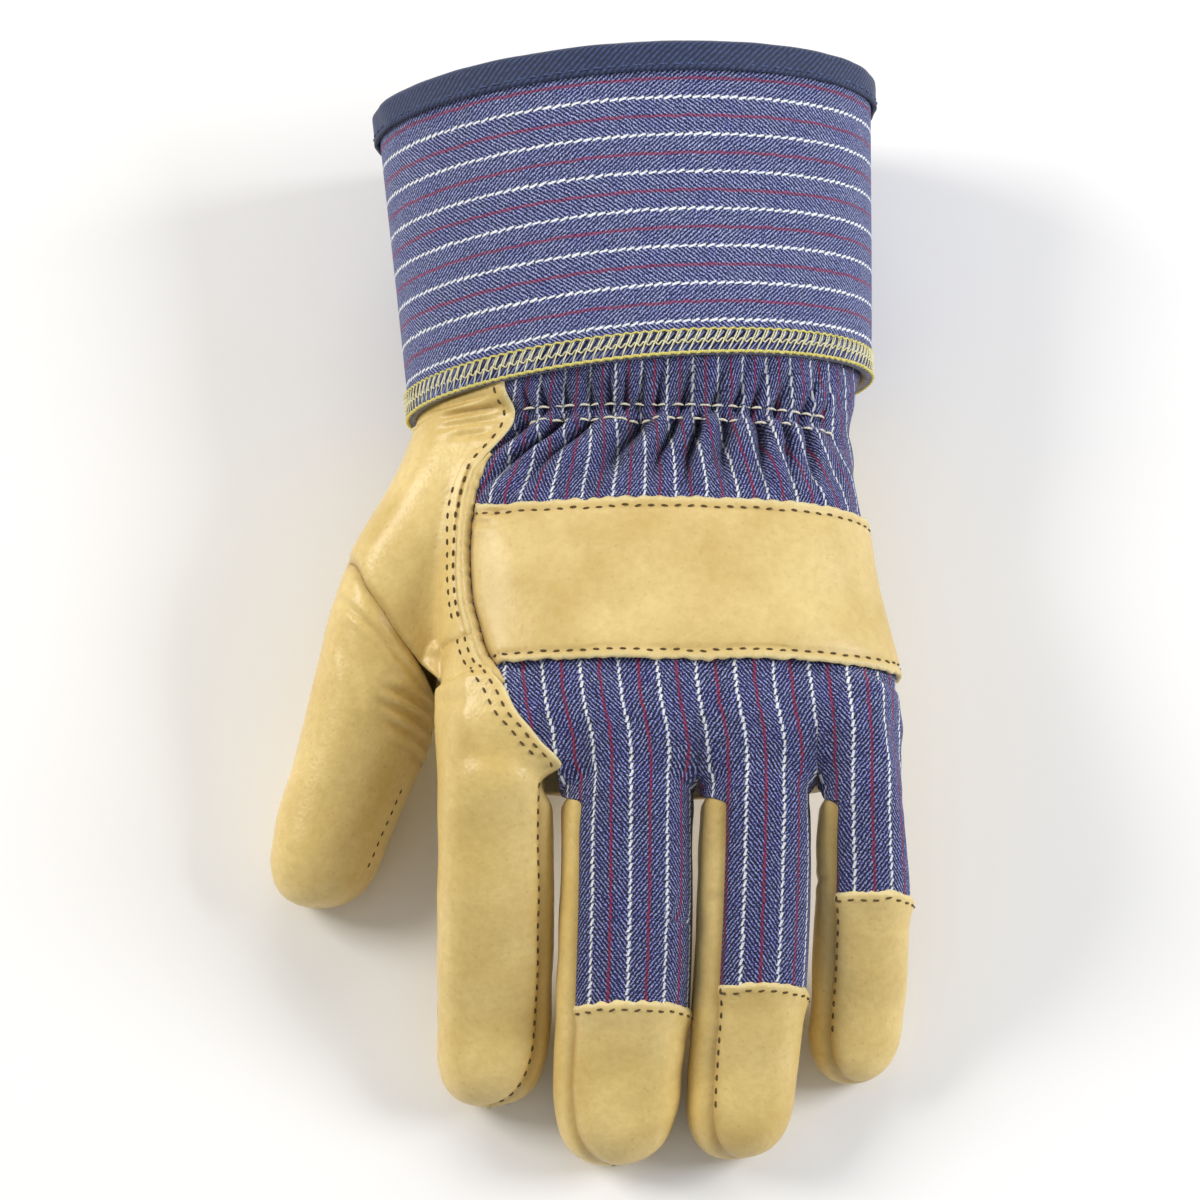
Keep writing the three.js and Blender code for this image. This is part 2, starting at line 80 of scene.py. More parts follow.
# Cuff
CUFF_LENGTH = 71.2
CUFF_ROOT_WIDTH = 106.0
CUFF_MOUTH_WIDTH = 114.6
CUFF_ROOT_DEPTH = 67.0
CUFF_MOUTH_DEPTH = 74.0
CUFF_WALL = 1.8
CUFF_LEAN = 3.5
CUFF_ROOT_SKEW = math.tan(math.radians(5.6))
CUFF_MOUTH_SKEW = math.tan(math.radians(4.2))
CUFF_SAG = 1.6
BINDING_WIDTH = 6.0
BINDING_WALL = 1.0
SEWING_GAP = 0.3
OVERLOCK_WIDTH = 5.6
CLOTH_RADIUS = 52.0  # of the circle that stands for the cuff's wall in cloth coordinates

# Hand
PALM_LENGTH = 92.0
PALM_DEPTH = 44.0
WRIST_HEIGHT = 34.5
KNUCKLE_HEIGHT = 43.0
WEB_REACH = 3.2
WEB_RADIUS = 24.0
WEB_NARROWING = 0.3
CROTCH = -PALM_LENGTH - WEB_REACH
GATHER_LINE = -9.8
STRAP_TOP = -0.337 * PALM_LENGTH
STRAP_BOTTOM = -0.75 * PALM_LENGTH
STRAP_WALL = 1.4
INDEX_ROOT = -0.66 * PALM_LENGTH
THUMB_CROTCH = -0.83 * PALM_LENGTH
FINGER_GAP = 1.1
HAND_TOP = 7.0  # inside the cuff, where the panels of the hand begin

# Thumb
THUMB_LENGTH = 113.6
THUMB_REACH = 74.2
THUMB_WIDTH = 29.5
THUMB_DEPTH = 29.0
THUMB_TIP_RADIUS = 14.0
THUMB_TIP_HEIGHT = 10.0

# Fingers: width at the root, width, depth, length and lean, then the seams of the panel on its back in half
# widths, and the share of its length that is cloth.
FINGERS = {
    "index": (26.7, 26.2, 24.5, 67.6, 0.8, -1.0, 0.8, 0.0),
    "middle": (29.9, 29.9, 26.0, 81.2, 2.4, -0.72, 1.0, 0.6),
    "ring": (25.5, 25.5, 24.5, 79.8, 3.4, -0.54, 1.0, 0.56),
    "little": (19.0, 21.8, 21.0, 62.0, 1.8, -0.6, 1.0, 0.4),
}
FINGER_ROOT_HEIGHT = 42.5
FINGER_TIP_LIFT = 0.36
KNUCKLE_PUFF = 0.2  # how much deeper a finger's root is filled out
FINGER_TIP_SHARE = 0.6
FINGER_ROOT_SHARE = 0.3
TIP_BLUNTNESS = 2.5

# Sections of the hand: along, lean, wide, deep, rise
HAND_SECTIONS = np.array([
    (0.1, 0.001, 0.904, 1.03, 0), (0.25, 0.018, 0.924, 1.03, 0.22), (0.46, 0.025, 0.936, 1.01, 0.47),
    (0.64, 0.046, 0.962, 0.98, 0.72), (0.8, 0.0627, 0.99, 0.94, 0.94), (1.06, 0.0623, 0.987, 0.9, 1),
])
# Sections of a finger: along, fill, wide, deep, drop, sway
FINGER_SECTIONS = np.array([
    (-0.3, 0, 0.96, 0.92, -0.01, 0), (0, 0, 0.98, 1.02, 0, 0), (0.12, 0.15, 0.98, 1.02, 0.06, 0.04),
    (0.37, 0.75, 1, 1.03, 0.33, 0.25), (0.62, 1, 1, 1.02, 0.67, 0.55), (0.8, 1, 0.97, 0.98, 0.92, 0.8),
    (1, 1, 0.94, 0.9, 1, 1),
])
# Sections of the thumb: along, out, wide, deep, drop
THUMB_SECTIONS = np.array([
    (0.045, 0.52, 0.72, 1, 0.05), (0.2, 0.622, 0.84, 1.1, 0.1), (0.31, 0.7, 0.93, 1.1, 0.18),
    (0.405, 0.752, 0.96, 1.07, 0.28), (0.5, 0.79, 0.97, 1.03, 0.39), (0.605, 0.822, 1, 1, 0.53),
    (0.7, 0.86, 1.01, 0.97, 0.67), (0.8, 0.917, 0.95, 0.94, 0.82), (0.895, 0.965, 0.88, 0.9, 0.94),
    (1, 0.99, 0.82, 0.84, 1),
])
# Seams on the back of the hand: along, side in half widths of the hand
BACK_SEAM = np.array([
    (0.035, -0.6), (0.13, -0.615), (0.23, -0.79), (0.35, -0.855), (0.56, -0.87), (0.64, -0.847),
    (0.724, -0.808), (0.811, -0.715), (0.876, -0.665), (0.928, -0.59), (0.978, -0.49), (1.043, -0.44),
])
THUMB_SEAM = np.array([
    (0.34, -1.75), (0.41, -1.44), (0.51, -1.32), (0.61, -1.19), (0.755, -1), (0.815, -1),
])

CUFF_POWER = 1.9
HAND_POWER = 2.35
THUMB_POWER = 2.1
FINGER_POWER = 2.15

X, Z, HALF_WIDTH, HALF_DEPTH, POWER, SKEW = range(6)  # the columns of a section

STRIPE_PITCH = 8.6
FIRST_STRIPE_X = -2.7  # a white thread lies here on the knuckles
STRIPE_DRIFT = 2.6  # and this much nearer the thumb under the strap
CUFF_FIRST_STRIPE = 7.7  # and here above the wrist seam on the cuff


def mix(a, b, t):
    return a + (b - a) * t


def ease(x, low, high):
    """0 below low, 1 above high and a smooth step between them."""
    t = np.clip((x - low) / (high - low), 0.0, 1.0)
    return t * t * (3.0 - 2.0 * t)


def bell(x, width):
    return np.exp(-((x / width) ** 2))


def rows_at(table, along):
    """The columns of a table at `along`, on the cubic Hermite curve whose slope at each row is that of
    the line between its neighbours."""
    places, values = table[:, 0], table[:, 1:]
    last = len(places) - 1
    i = np.clip(np.searchsorted(places, along, side="right") - 1, 0, last - 1)
    before, after = np.maximum(np.arange(last + 1) - 1, 0), np.minimum(np.arange(last + 1) + 1, last)
    slopes = (values[after] - values[before]) / (places[after] - places[before])[:, None]
    span = (places[i + 1] - places[i])[..., None]
    t = np.clip((along - places[i])[..., None] / span, 0.0, 1.0)
    start, end, leave, arrive = values[i], values[i + 1], slopes[i] * span, slopes[i + 1] * span
    curve = (2 * t**3 - 3 * t**2 + 1) * start + (t**3 - 2 * t**2 + t) * leave
    curve = curve + (3 * t**2 - 2 * t**3) * end + (t**3 - t**2) * arrive
    return np.moveaxis(curve, -1, 0)


def round_end(distance, radius):
    """The share of full size that a sleeve keeps at a distance from its round end."""
    t = np.clip(1.0 - distance / radius, 0.0, 1.0)
    return (1.0 - t**TIP_BLUNTNESS) ** (1.0 / TIP_BLUNTNESS)


def section(x, z, half_width, half_depth, power, skew=0.0):
    columns = np.broadcast_arrays(x, z, half_width, half_depth, power, skew)
    return np.stack(columns, axis=-1).astype(float)


def cuff_section(y, grow=0.0):
    t = y / CUFF_LENGTH
    half_depth = mix(CUFF_ROOT_DEPTH, CUFF_MOUTH_DEPTH, t) / 2
    half_width = mix(CUFF_ROOT_WIDTH, CUFF_MOUTH_WIDTH, t) / 2
    height = BINDING_WALL + SEWING_GAP + half_depth - CUFF_SAG
    skew = mix(CUFF_ROOT_SKEW, CUFF_MOUTH_SKEW, t)
    return section(-CUFF_LEAN * t, height, half_width + grow, half_depth + grow, CUFF_POWER, skew)


PALM_WIDTH = sum(finger[0] for finger in FINGERS.values()) + FINGER_GAP * (len(FINGERS) - 1)


def hand_section(y):
    """The hand's oval at y. Above the wrist seam it lies inside the cuff, and below the gathered line it
    follows its own table."""
    below_y = np.minimum(y, GATHER_LINE)
    lean, wide, deep, rise = rows_at(HAND_SECTIONS, -below_y / PALM_LENGTH)
    end = round_end(below_y + PALM_LENGTH + WEB_REACH, WEB_RADIUS)
    half_width = wide * PALM_WIDTH / 2 * end**WEB_NARROWING
    height = mix(WRIST_HEIGHT, KNUCKLE_HEIGHT, rise)
    below = section(lean * PALM_WIDTH, height, half_width, deep * PALM_DEPTH / 2 * end, HAND_POWER)
    above = cuff_section(np.maximum(y, 0.0), -CUFF_WALL - SEWING_GAP)
    return mix(below, above, ease(y, GATHER_LINE, 0.0)[..., None])


def thumb_section(y):
    out, wide, deep, drop = rows_at(THUMB_SECTIONS, -y / THUMB_LENGTH)
    end = round_end(y + THUMB_LENGTH, THUMB_TIP_RADIUS) * (1.0 - 0.999 * ease(y, -4.0, 6.0))
    height = mix(WRIST_HEIGHT, THUMB_TIP_HEIGHT, drop)
    half_width, half_depth = wide * THUMB_WIDTH / 2 * end, deep * THUMB_DEPTH / 2 * end
    return section(-out * THUMB_REACH, height, half_width, half_depth, THUMB_POWER)


def root_edge(name):
    """x of a finger's edge on the thumb's side, at the crotches."""
    names = list(FINGERS)
    before = sum(FINGERS[other][0] + FINGER_GAP for other in names[: names.index(name)])
    lean, _, _, _ = rows_at(HAND_SECTIONS, np.array(1.0))
    return float(lean) * PALM_WIDTH - PALM_WIDTH / 2 + before


def finger_section(name, y):
    root_width, width, depth, length, lean, _, _, _ = FINGERS[name]
    fill, wide, deep, drop, sway = rows_at(FINGER_SECTIONS, -(y + PALM_LENGTH) / length)
    in_hand = -PALM_LENGTH + length * FINGER_ROOT_SHARE
    end = round_end(y + PALM_LENGTH + length, width * FINGER_TIP_SHARE)
    end = end * (1.0 - 0.999 * ease(y, in_hand, in_hand + 5.0))
    half_width = wide * mix(root_width, width, fill) / 2
    height = mix(FINGER_ROOT_HEIGHT, depth * FINGER_TIP_LIFT, drop)
    x = root_edge(name) + half_width - sway * lean
    puff = 1 + KNUCKLE_PUFF * ease(y, -PALM_LENGTH - 17.0, -PALM_LENGTH + 1.0)
    return section(x, height, half_width * end, deep * depth / 2 * end * puff, FINGER_POWER)


def depth_outside(oval, x, z):
    """How far a point lies outside an oval, about in mm: its power mean radius less 1, times the lesser half
    size. It is below 0 inside."""
    half_width, half_depth = np.maximum(oval[..., HALF_WIDTH], 1e-3), np.maximum(oval[..., HALF_DEPTH], 1e-3)
    across = np.abs(x - oval[..., X]) / half_width
    up = np.abs(z - oval[..., Z]) / half_depth
    radius = (across ** oval[..., POWER] + up ** oval[..., POWER]) ** (1.0 / oval[..., POWER])
    return (radius - 1.0) * np.minimum(half_width, half_depth)


def blended(a, b, reach):
    """The lesser of two depths, rounded where they differ by less than reach."""
    near = np.maximum(reach - np.abs(a - b), 0.0) / reach
    return np.minimum(a, b) - near * near * reach / 4


CROTCH_BLEND = 2.6
KNUCKLE_BLEND = 10.0
THUMB_BLEND = 6.0


def glove_depth(ovals, x, z):
    """Depth outside the hand with its fingers and thumb. Neighbouring fingers stay apart."""
    fingers = np.min([depth_outside(oval, x, z) for oval in ovals["fingers"]], axis=0)
    beside = np.min([np.abs(x - o[..., X]) / (o[..., HALF_WIDTH] + 1e-3) for o in ovals["fingers"]], axis=0)
    reach = mix(ovals["knuckle_blend"], CROTCH_BLEND, ease(beside, 0.45, 0.95))
    depth = blended(depth_outside(ovals["hand"], x, z), fingers, reach)
    return blended(depth, depth_outside(ovals["thumb"], x, z), THUMB_BLEND)


def skin(y, start_x, start_z, angle, own=None, reach=72.0, steps=48, halvings=13):
    """Where rays in planes of constant y first leave the glove: steps outwards, then halves the last step.
    With a finger of its `own` a ray meets no other finger from a little above the crotches down."""
    y, start_x, start_z, angle = (a.copy() for a in np.broadcast_arrays(y, start_x, start_z, angle))
    ovals = {
        "hand": hand_section(y),
        "thumb": thumb_section(y),
        "fingers": [finger_section(name, y) for name in FINGERS],
        "knuckle_blend": mix(CROTCH_BLEND, KNUCKLE_BLEND, ease(y, CROTCH, CROTCH + 15.0)),
    }
    for name, oval in zip(FINGERS, ovals["fingers"]):
        if own and name != own:
            oval[..., HALF_WIDTH] *= y > CROTCH + 7.0
        oval[..., Z] -= 1e3 * (oval[..., HALF_WIDTH] < 0.1)
    way_x, way_z = np.cos(angle), np.sin(angle)
    near, far, found = np.zeros_like(angle), np.full_like(angle, reach), np.zeros(angle.shape, bool)
    for step in np.linspace(0.0, reach, steps)[1:]:
        outside = glove_depth(ovals, start_x + step * way_x, start_z + step * way_z) > 0
        far = np.where(outside & ~found, step, far)
        found |= outside
        near = np.where(found, near, step)
        if found.all():
            break
    for _ in range(halvings):
        half = (near + far) / 2
        outside = glove_depth(ovals, start_x + half * way_x, start_z + half * way_z) > 0
        near, far = np.where(outside, near, half), np.where(outside, half, far)
    x, z = start_x + far * way_x, start_z + far * way_z
    skewed = y + ovals["hand"][..., SKEW] * (x - ovals["hand"][..., X])
    return np.stack([x, skewed, z], axis=-1)


def ring_points(oval, y, angle, grow=0.0):
    """Points of an oval by its ring angle: each half size times a power of cosine or sine."""
    cos, sin = np.cos(angle), np.sin(angle)
    power = 2.0 / oval[..., POWER]
    x = (oval[..., HALF_WIDTH] + grow) * np.sign(cos) * np.abs(cos) ** power
    z = (oval[..., HALF_DEPTH] + grow) * np.sign(sin) * np.abs(sin) ** power
    return np.stack([oval[..., X] + x, y + oval[..., SKEW] * x, oval[..., Z] + z], axis=-1)


def ring_angle(share):
    """The ring angle, above the sides, at which a finger's section has x = share of its half width."""
    return math.acos(math.copysign(abs(share) ** (FINGER_POWER / 2), share))


# Seams in plan
def hand_x(y, side):
    oval = hand_section(np.maximum(y, -PALM_LENGTH - WEB_REACH + WEB_RADIUS / 2))
    return oval[..., X] + side * oval[..., HALF_WIDTH]


def line_at(table, along):
    return rows_at(table, np.asarray(along, float))[0]


def back_seam_x(y):
    return hand_x(y, line_at(BACK_SEAM, -y / PALM_LENGTH))


def thumb_seam_x(y):
    return hand_x(y, line_at(THUMB_SEAM, -y / PALM_LENGTH))


# Grids of points. A grid has rows along the glove and columns across it.
def unit(vectors):
    return vectors / np.maximum(np.linalg.norm(vectors, axis=-1, keepdims=True), 1e-9)


def normals_of(points, outward, closed=False):
    """Normals from the differences along rows and columns, turned to the same side as `outward`."""
    if closed:
        wrapped = np.concatenate([points[:, -2:-1], points, points[:, 1:2]], axis=1)
        across = (wrapped[:, 2:] - wrapped[:, :-2]) / 2
    else:
        across = np.gradient(points, axis=1)
    normal = unit(np.cross(np.gradient(points, axis=0), across))
    way = np.sign(np.sum(normal * outward))
    return normal * way, way


def lengths_along(points, axis):
    """Distance walked along an axis of a grid from its first row or column."""
    steps = np.linalg.norm(np.diff(points, axis=axis), axis=-1)
    start = np.zeros_like(np.take(steps, [0], axis=axis))
    return np.concatenate([start, np.cumsum(steps, axis=axis)], axis=axis)


def outward_from(points, x, y, z):
    """From the middle line of a limb to the points round it."""
    return points - np.stack(np.broadcast_arrays(x, y, z), axis=-1)


def smoothed(values, reach):
    """The mean of each value and its neighbours within reach. The end values carry on past the ends."""
    width = 2 * reach + 1
    return np.convolve(np.pad(values, reach, mode="edge"), np.ones(width) / width, mode="valid")


def edge_distances(points):
    """Distance of each point from the first and last row and the first and last column."""
    down, across = lengths_along(points, 0), lengths_along(points, 1)
    return {
        "top": down, "bottom": down[-1:] - down, "left": across, "right": across[:, -1:] - across,
    }


def ripples(points, seed, wavelength, count=14):
    """Smooth noise of about unit height: a sum of plane waves of random direction and phase."""
    random = np.random.default_rng(seed)
    ways = unit(random.normal(size=(count, 3))) / (wavelength * random.uniform(0.6, 1.6, (count, 1)))
    phases = random.uniform(0, 2 * np.pi, count)
    return np.sin(2 * np.pi * points @ ways.T + phases).sum(axis=-1) / math.sqrt(count / 2)


def crease_depth(points, creases):
    """Height of straight creases in plan, each a valley between two low ridges that fades at its ends.

    A crease is (start x, start y, end x, end y, depth, width)."""
    height = np.zeros(points.shape[:-1])
    for start_x, start_y, end_x, end_y, depth, width in creases:
        way = np.array([end_x - start_x, end_y - start_y])
        length = np.linalg.norm(way)
        way = way / length
        from_start = points[..., :2] - np.array([start_x, start_y])
        along = from_start @ way / length
        beside = (from_start[..., 0] * way[1] - from_start[..., 1] * way[0]) / width
        fade = ease(along, -0.15, 0.3) * (1 - ease(along, 0.7, 1.15))
        height += depth * fade * (0.55 * bell(np.abs(beside) - 1.7, 1.0) - bell(beside, 0.9))
    return height


class Panel:
    """A sewn panel: a grid of points with its outward normals, and how near each point is to its edges."""

    def __init__(self, points, outward, closed=False):
        self.points, self.closed = points, closed
        self.outward = outward
        self.normals, self.way = normals_of(points, outward, closed)
        # seam is the share of painted shade in the colour, along seams, in grooves and in the cloth's fold
        # valleys
        self.seam = np.zeros(points.shape[:-1])
        self.raw = np.zeros(points.shape[:-1])
        self.full = np.ones(points.shape[:-1])  # share of the wall's full thickness
        self.lined = np.ones(points.shape[:-1])  # 1 where the wall's inner face shows its own colour
        self.cloth = None

    def lift(self, height):
        """Moves the points out along their normals."""
        self.points = self.points + self.normals * np.asarray(height)[..., None]
        self.normals, self.way = normals_of(self.points, self.outward, self.closed)

    def keep_above_floor(self, floor=0.0):
        self.points[..., 2] = np.maximum(self.points[..., 2], floor)

    def sew(self, sides, depth=0.7, width=1.5):
        """Draws the named edges down into their seams, and paints shade along these hollows."""
        distances = edge_distances(self.points)
        for side in sides:
            self.lift(-depth * bell(distances[side], width))
            self.seam = np.maximum(self.seam, bell(distances[side], width))

    def line(self, side, distance):
        """The points and normals at a distance inside one edge, by interpolation across each row or column
        that is longer than that."""
        grid, normals = self.points, self.normals
        if side in ("top", "bottom"):
            grid, normals = grid.swapaxes(0, 1), normals.swapaxes(0, 1)
        if side in ("right", "bottom"):
            grid, normals = grid[:, ::-1], normals[:, ::-1]
        walked = lengths_along(grid, 1)
        long_enough = walked[:, -1] > distance
        grid, normals, walked = grid[long_enough], normals[long_enough], walked[long_enough]
        index = np.argmax(walked > distance, axis=1)
        rows = np.arange(len(grid))
        before, after = walked[rows, index - 1], walked[rows, index]
        t = ((distance - before) / (after - before))[:, None]
        points = mix(grid[rows, index - 1], grid[rows, index], t)
        return points, unit(mix(normals[rows, index - 1], normals[rows, index], t))


# Where the glove lies in the frame
MIDDLE_FINGER_TIP = -PALM_LENGTH - FINGERS["middle"][3] + 0.2
SHIFT = np.array([
    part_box("cuff")[1].x / MILLIMETRE - (CUFF_MOUTH_WIDTH / 2 - CUFF_LEAN),
    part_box("middle_front")[0].y / MILLIMETRE - MIDDLE_FINGER_TIP,
    0.0,
])


def grid_faces(rows, columns, closed):
    """Corner numbers of a grid's quads, and of the lines round its border."""
    numbers = np.arange(rows * columns).reshape(rows, columns)
    if closed:
        numbers = numbers.copy()
        numbers[:, -1] = numbers[:, 0]
    corners = np.stack([numbers[:-1, :-1], numbers[1:, :-1], numbers[1:, 1:], numbers[:-1, 1:]], axis=-1)
    borders = [numbers[0], numbers[-1][::-1]]
    if not closed:
        borders += [numbers[:, -1], numbers[:, 0][::-1]]
    return corners.reshape(-1, 4), borders


def shell(panel, wall):
    """A closed wall: the panel's grid, the same grid moved in by the wall's thickness, and a rim between
    them."""
    rows, columns = panel.points.shape[:2]
    outside, borders = grid_faces(rows, columns, panel.closed)
    inner = panel.points - panel.normals * wall * panel.full[..., None]
    points = np.concatenate([panel.points.reshape(-1, 3), inner.reshape(-1, 3)])
    count = rows * columns
    rims = [np.stack([b[:-1], b[:-1] + count, b[1:] + count, b[1:]], axis=-1) for b in borders]
    rim = np.concatenate(rims)[:, ::-1]
    faces = np.concatenate([outside, outside[:, ::-1] + count, rim])
    if panel.way > 0:
        faces = faces[:, ::-1]
    inside = np.concatenate([np.zeros(count), panel.lined.ravel()])
    twice = lambda values: np.concatenate([values.reshape(count, -1)] * 2)
    cloth = panel.cloth if panel.cloth is not None else np.zeros((rows, columns, 2))
    return points, faces, inside, twice(panel.seam)[:, 0], twice(panel.raw)[:, 0], twice(cloth)


def add_mesh(name, points, faces, material, values=None, cloth=None):
    """Makes a smooth mesh object of points in the glove's millimetres, welded, with values on each point."""
    mesh = bpy.data.meshes.new(name)
    placed = (points + SHIFT) * MILLIMETRE
    mesh.vertices.add(len(placed))
    mesh.vertices.foreach_set("co", placed.astype(np.float32).ravel())
    sides = faces.shape[1]
    mesh.loops.add(faces.size)
    mesh.loops.foreach_set("vertex_index", faces.astype(np.int32).ravel())
    mesh.polygons.add(len(faces))
    mesh.polygons.foreach_set("loop_start", np.arange(0, faces.size, sides, dtype=np.int32))
    mesh.polygons.foreach_set("loop_total", np.full(len(faces), sides, dtype=np.int32))
    mesh.update(calc_edges=True)
    for key, value in (values or {}).items():
        mesh.attributes.new(key, "FLOAT", "POINT").data.foreach_set("value", value.astype(np.float32))
    if cloth is not None:
        layer = mesh.uv_layers.new(name="Cloth")
        layer.data.foreach_set("uv", cloth[faces.ravel()].astype(np.float32).ravel())
    tidy = bmesh.new()
    tidy.from_mesh(mesh)
    bmesh.ops.remove_doubles(tidy, verts=tidy.verts, dist=2e-6)
    bmesh.ops.dissolve_degenerate(tidy, edges=tidy.edges, dist=1e-7)
    tidy.to_mesh(mesh)
    tidy.free()
    mesh.polygons.foreach_set("use_smooth", np.ones(len(mesh.polygons), bool))
    mesh.materials.append(material)
    piece = bpy.data.objects.new(name, mesh)
    bpy.context.scene.collection.objects.link(piece)
    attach(piece, BODY)
    return piece


def sew_piece(name, panels, wall, material, nodes):
    """One piece of one or more panels, each a closed wall, which stands for the named nodes of the frame."""
    parts = [shell(panel, wall) for panel in panels]
    offsets = np.cumsum([0] + [len(part[0]) for part in parts[:-1]])
    points, inside, seam, raw, cloth = (
        np.concatenate([part[i] for part in parts]) for i in (0, 2, 3, 4, 5)
    )
    faces = np.concatenate([part[1] + offset for part, offset in zip(parts, offsets)])
    values = {"inside": inside, "seam": seam, "raw": raw}
    piece = add_mesh(name, points, faces, material, values, cloth)
    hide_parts(*nodes)
    return piece


# The cloth of the back
CLOTH_STEP = 0.62
CROTCH_STEP = 0.36
CROTCH_ROWS = -82.0  # from here down the rows lie closer, at the crotch step
CROTCH_ROWS_END = CROTCH - 3.0
UNDERLAP = 2.4  # how far cloth runs on under a leather edge
CLOTH_COLUMNS = {"middle": 88, "ring": 50, "little": 50}
CLOTH_FINGERS = tuple(CLOTH_COLUMNS)


def shared_rows():
    """y of the rows that all strips of cloth have, down to just past the crotches."""
    hand_rows = np.arange(HAND_TOP, CROTCH_ROWS, -CLOTH_STEP)
    return np.concatenate([hand_rows, np.arange(CROTCH_ROWS, CROTCH_ROWS_END, -CROTCH_STEP)])


def cloth_rows(name):
    """y of the rows of one strip of cloth."""
    end = -PALM_LENGTH - FINGERS[name][7] * FINGERS[name][3] - UNDERLAP
    return np.concatenate([shared_rows(), np.arange(CROTCH_ROWS_END, end, -CLOTH_STEP), [end]])


def strip_origin(name, y):
    """The middle of a finger, carried on up the hand in step with the hand's width."""
    below = finger_section(name, np.minimum(y, -PALM_LENGTH))
    hand = hand_section(np.maximum(y, -PALM_LENGTH + WEB_RADIUS))
    root = finger_section(name, np.array(-PALM_LENGTH))
    at_root = hand_section(np.array(-PALM_LENGTH + WEB_RADIUS))
    share = (root[X] - at_root[X]) / at_root[HALF_WIDTH]
    up = ease(y, -PALM_LENGTH, -PALM_LENGTH + WEB_RADIUS)
    x = mix(below[..., X], hand[..., X] + share * hand[..., HALF_WIDTH], up)
    return x, mix(below[..., Z], hand[..., Z], up)


def between_x(left, right, y):
    """x midway between two neighbouring fingers, carried on up the hand."""
    gap = (root_edge(right) + root_edge(left) + FINGERS[left][0]) / 2
    at_root = hand_section(np.array(-PALM_LENGTH + WEB_RADIUS))
    share = (gap - at_root[X]) / at_root[HALF_WIDTH]
    hand = hand_section(np.maximum(y, -PALM_LENGTH + WEB_RADIUS))
    up = ease(y, -PALM_LENGTH, -PALM_LENGTH + WEB_RADIUS)
    return mix(gap, hand[..., X] + share * hand[..., HALF_WIDTH], up)


def top_angle(x, y, origin):
    """The angle, seen from a strip's origin, of the skin straight above (x, y), level below the crotch."""
    in_web = np.maximum(y, CROTCH + 0.02)
    height = hand_section(in_web)[..., Z]
    above = skin(in_web, x, height, np.full_like(y, math.pi / 2))
    return np.arctan2(np.maximum(above[..., 2] - origin[1], 0.0), x - origin[0])


def spread(y, origin_x, origin_z, coarse, columns, own=None):
    """Rays from each row's origin to the skin, spaced evenly along the skin over the row's coarse angles."""
    walked = lengths_along(skin(y, origin_x, origin_z, coarse, own), 1)
    even = np.linspace(0, 1, columns)
    angles = np.array([np.interp(even * w[-1], w, a) for w, a in zip(walked, coarse)])
    points = skin(y, origin_x, origin_z, angles, own)
    return points, outward_from(points, origin_x, y, origin_z)


def fan(name, y, left, right, columns):
    """The skin of a strip, spread between two angles in each row."""
    origin_x, origin_z = (o[:, None] for o in strip_origin(name, y))
    coarse = mix(left[:, None], right[:, None], np.linspace(0, 1, 25))
    return spread(y[:, None], origin_x, origin_z, coarse, columns, name)


def seam_angle(name, y, side):
    """The angle, seen from a finger's middle, of the seam on its top at `side`, in half widths."""
    oval = finger_section(name, np.minimum(y, CROTCH))
    height = oval[..., HALF_DEPTH] * (1 - abs(side) ** FINGER_POWER) ** (1 / FINGER_POWER)
    return np.arctan2(height, side * oval[..., HALF_WIDTH])


def strip_angles(name, y):
    """The angles of a cloth strip's two edges in each row."""
    origin = strip_origin(name, y)
    past = ease(-y, -CROTCH - 1.0, -CROTCH + 4.5)
    on_finger = mix(math.pi, seam_angle(name, y, FINGERS[name][5]), past)
    if name == "middle":
        own_side = root_edge(name) - FINGER_GAP / 2
        left_x = mix(own_side, back_seam_x(y) - UNDERLAP, ease(y, -94.0, -86.0))
    elif name == "ring":
        left_x = between_x("middle", "ring", y)
    else:
        left_x = between_x("ring", "little", y)
    left = np.where(y > CROTCH, top_angle(left_x, y, origin), on_finger)
    if name == "little":
        return left, np.full_like(y, -0.1)
    right_x = between_x("middle", "ring", y) if name == "middle" else between_x("ring", "little", y)
    right = np.where(y > CROTCH, top_angle(right_x, y, origin), 0.0)
    return left, right


GATHER_FOLDS = 12.5
GATHER_DEPTH = 4.0
GATHER_FADE_DOWN = 14.0
GATHER_FADE_UP = 7.0
GATHER_LEAN = 0.006
STRAP_STRETCH = 0.22  # how much more cloth than width there is at the strap's top
ELASTIC_STRETCH = 0.25  # and further at the elastic
FINGER_STRIPES = {"middle": -0.9, "ring": 2.3, "little": 2.2}  # from a white thread to each finger's middle


def gathers(share, y):
    """Height of the folds that the elastic gathers, and how deep in a valley each point is. They are rounded
    ridges between sharp valleys, made uneven by slow waves, that lean towards the thumb and fade away from
    the elastic. Above it there are more of them and they are lower."""
    down = GATHER_LINE - y
    placed = share + GATHER_LEAN * np.clip(1.15 - 2.6 * share, -0.35, 1.0) * np.maximum(down, 0.0)
    slow = 0.3 * np.sin(9.0 * placed + 1.0) + 0.2 * np.sin(23.0 * placed + 2.0)
    phase = np.pi * (GATHER_FOLDS * placed + slow)
    uneven = 0.8 + 0.22 * np.sin(15.0 * placed + 0.7) + 0.2 * np.sin(41.0 * placed)
    valley = (1 - np.abs(np.sin(phase))) ** 1.25
    below = ease(down, -0.5, 2.0) * bell(down, GATHER_FADE_DOWN)
    above = ease(-down, -0.5, 1.5) * bell(down, GATHER_FADE_UP)
    split = np.pi * (1.5 * GATHER_FOLDS * share - 1.3 * slow - 0.02 * y)
    valley_above = (1 - np.abs(np.sin(split))) ** 1.5
    fine = (1 - np.abs(np.sin(2.3 * phase))) ** 1.5
    line = bell(down, 2.2)
    deep = below * valley * uneven + 0.6 * above * valley_above + 0.22 * line * fine
    height = 2.0 * below * (1 - valley) + 0.7 * above - GATHER_DEPTH * deep - 0.8 * line
    return height, np.clip(1.7 * deep, 0, 1)


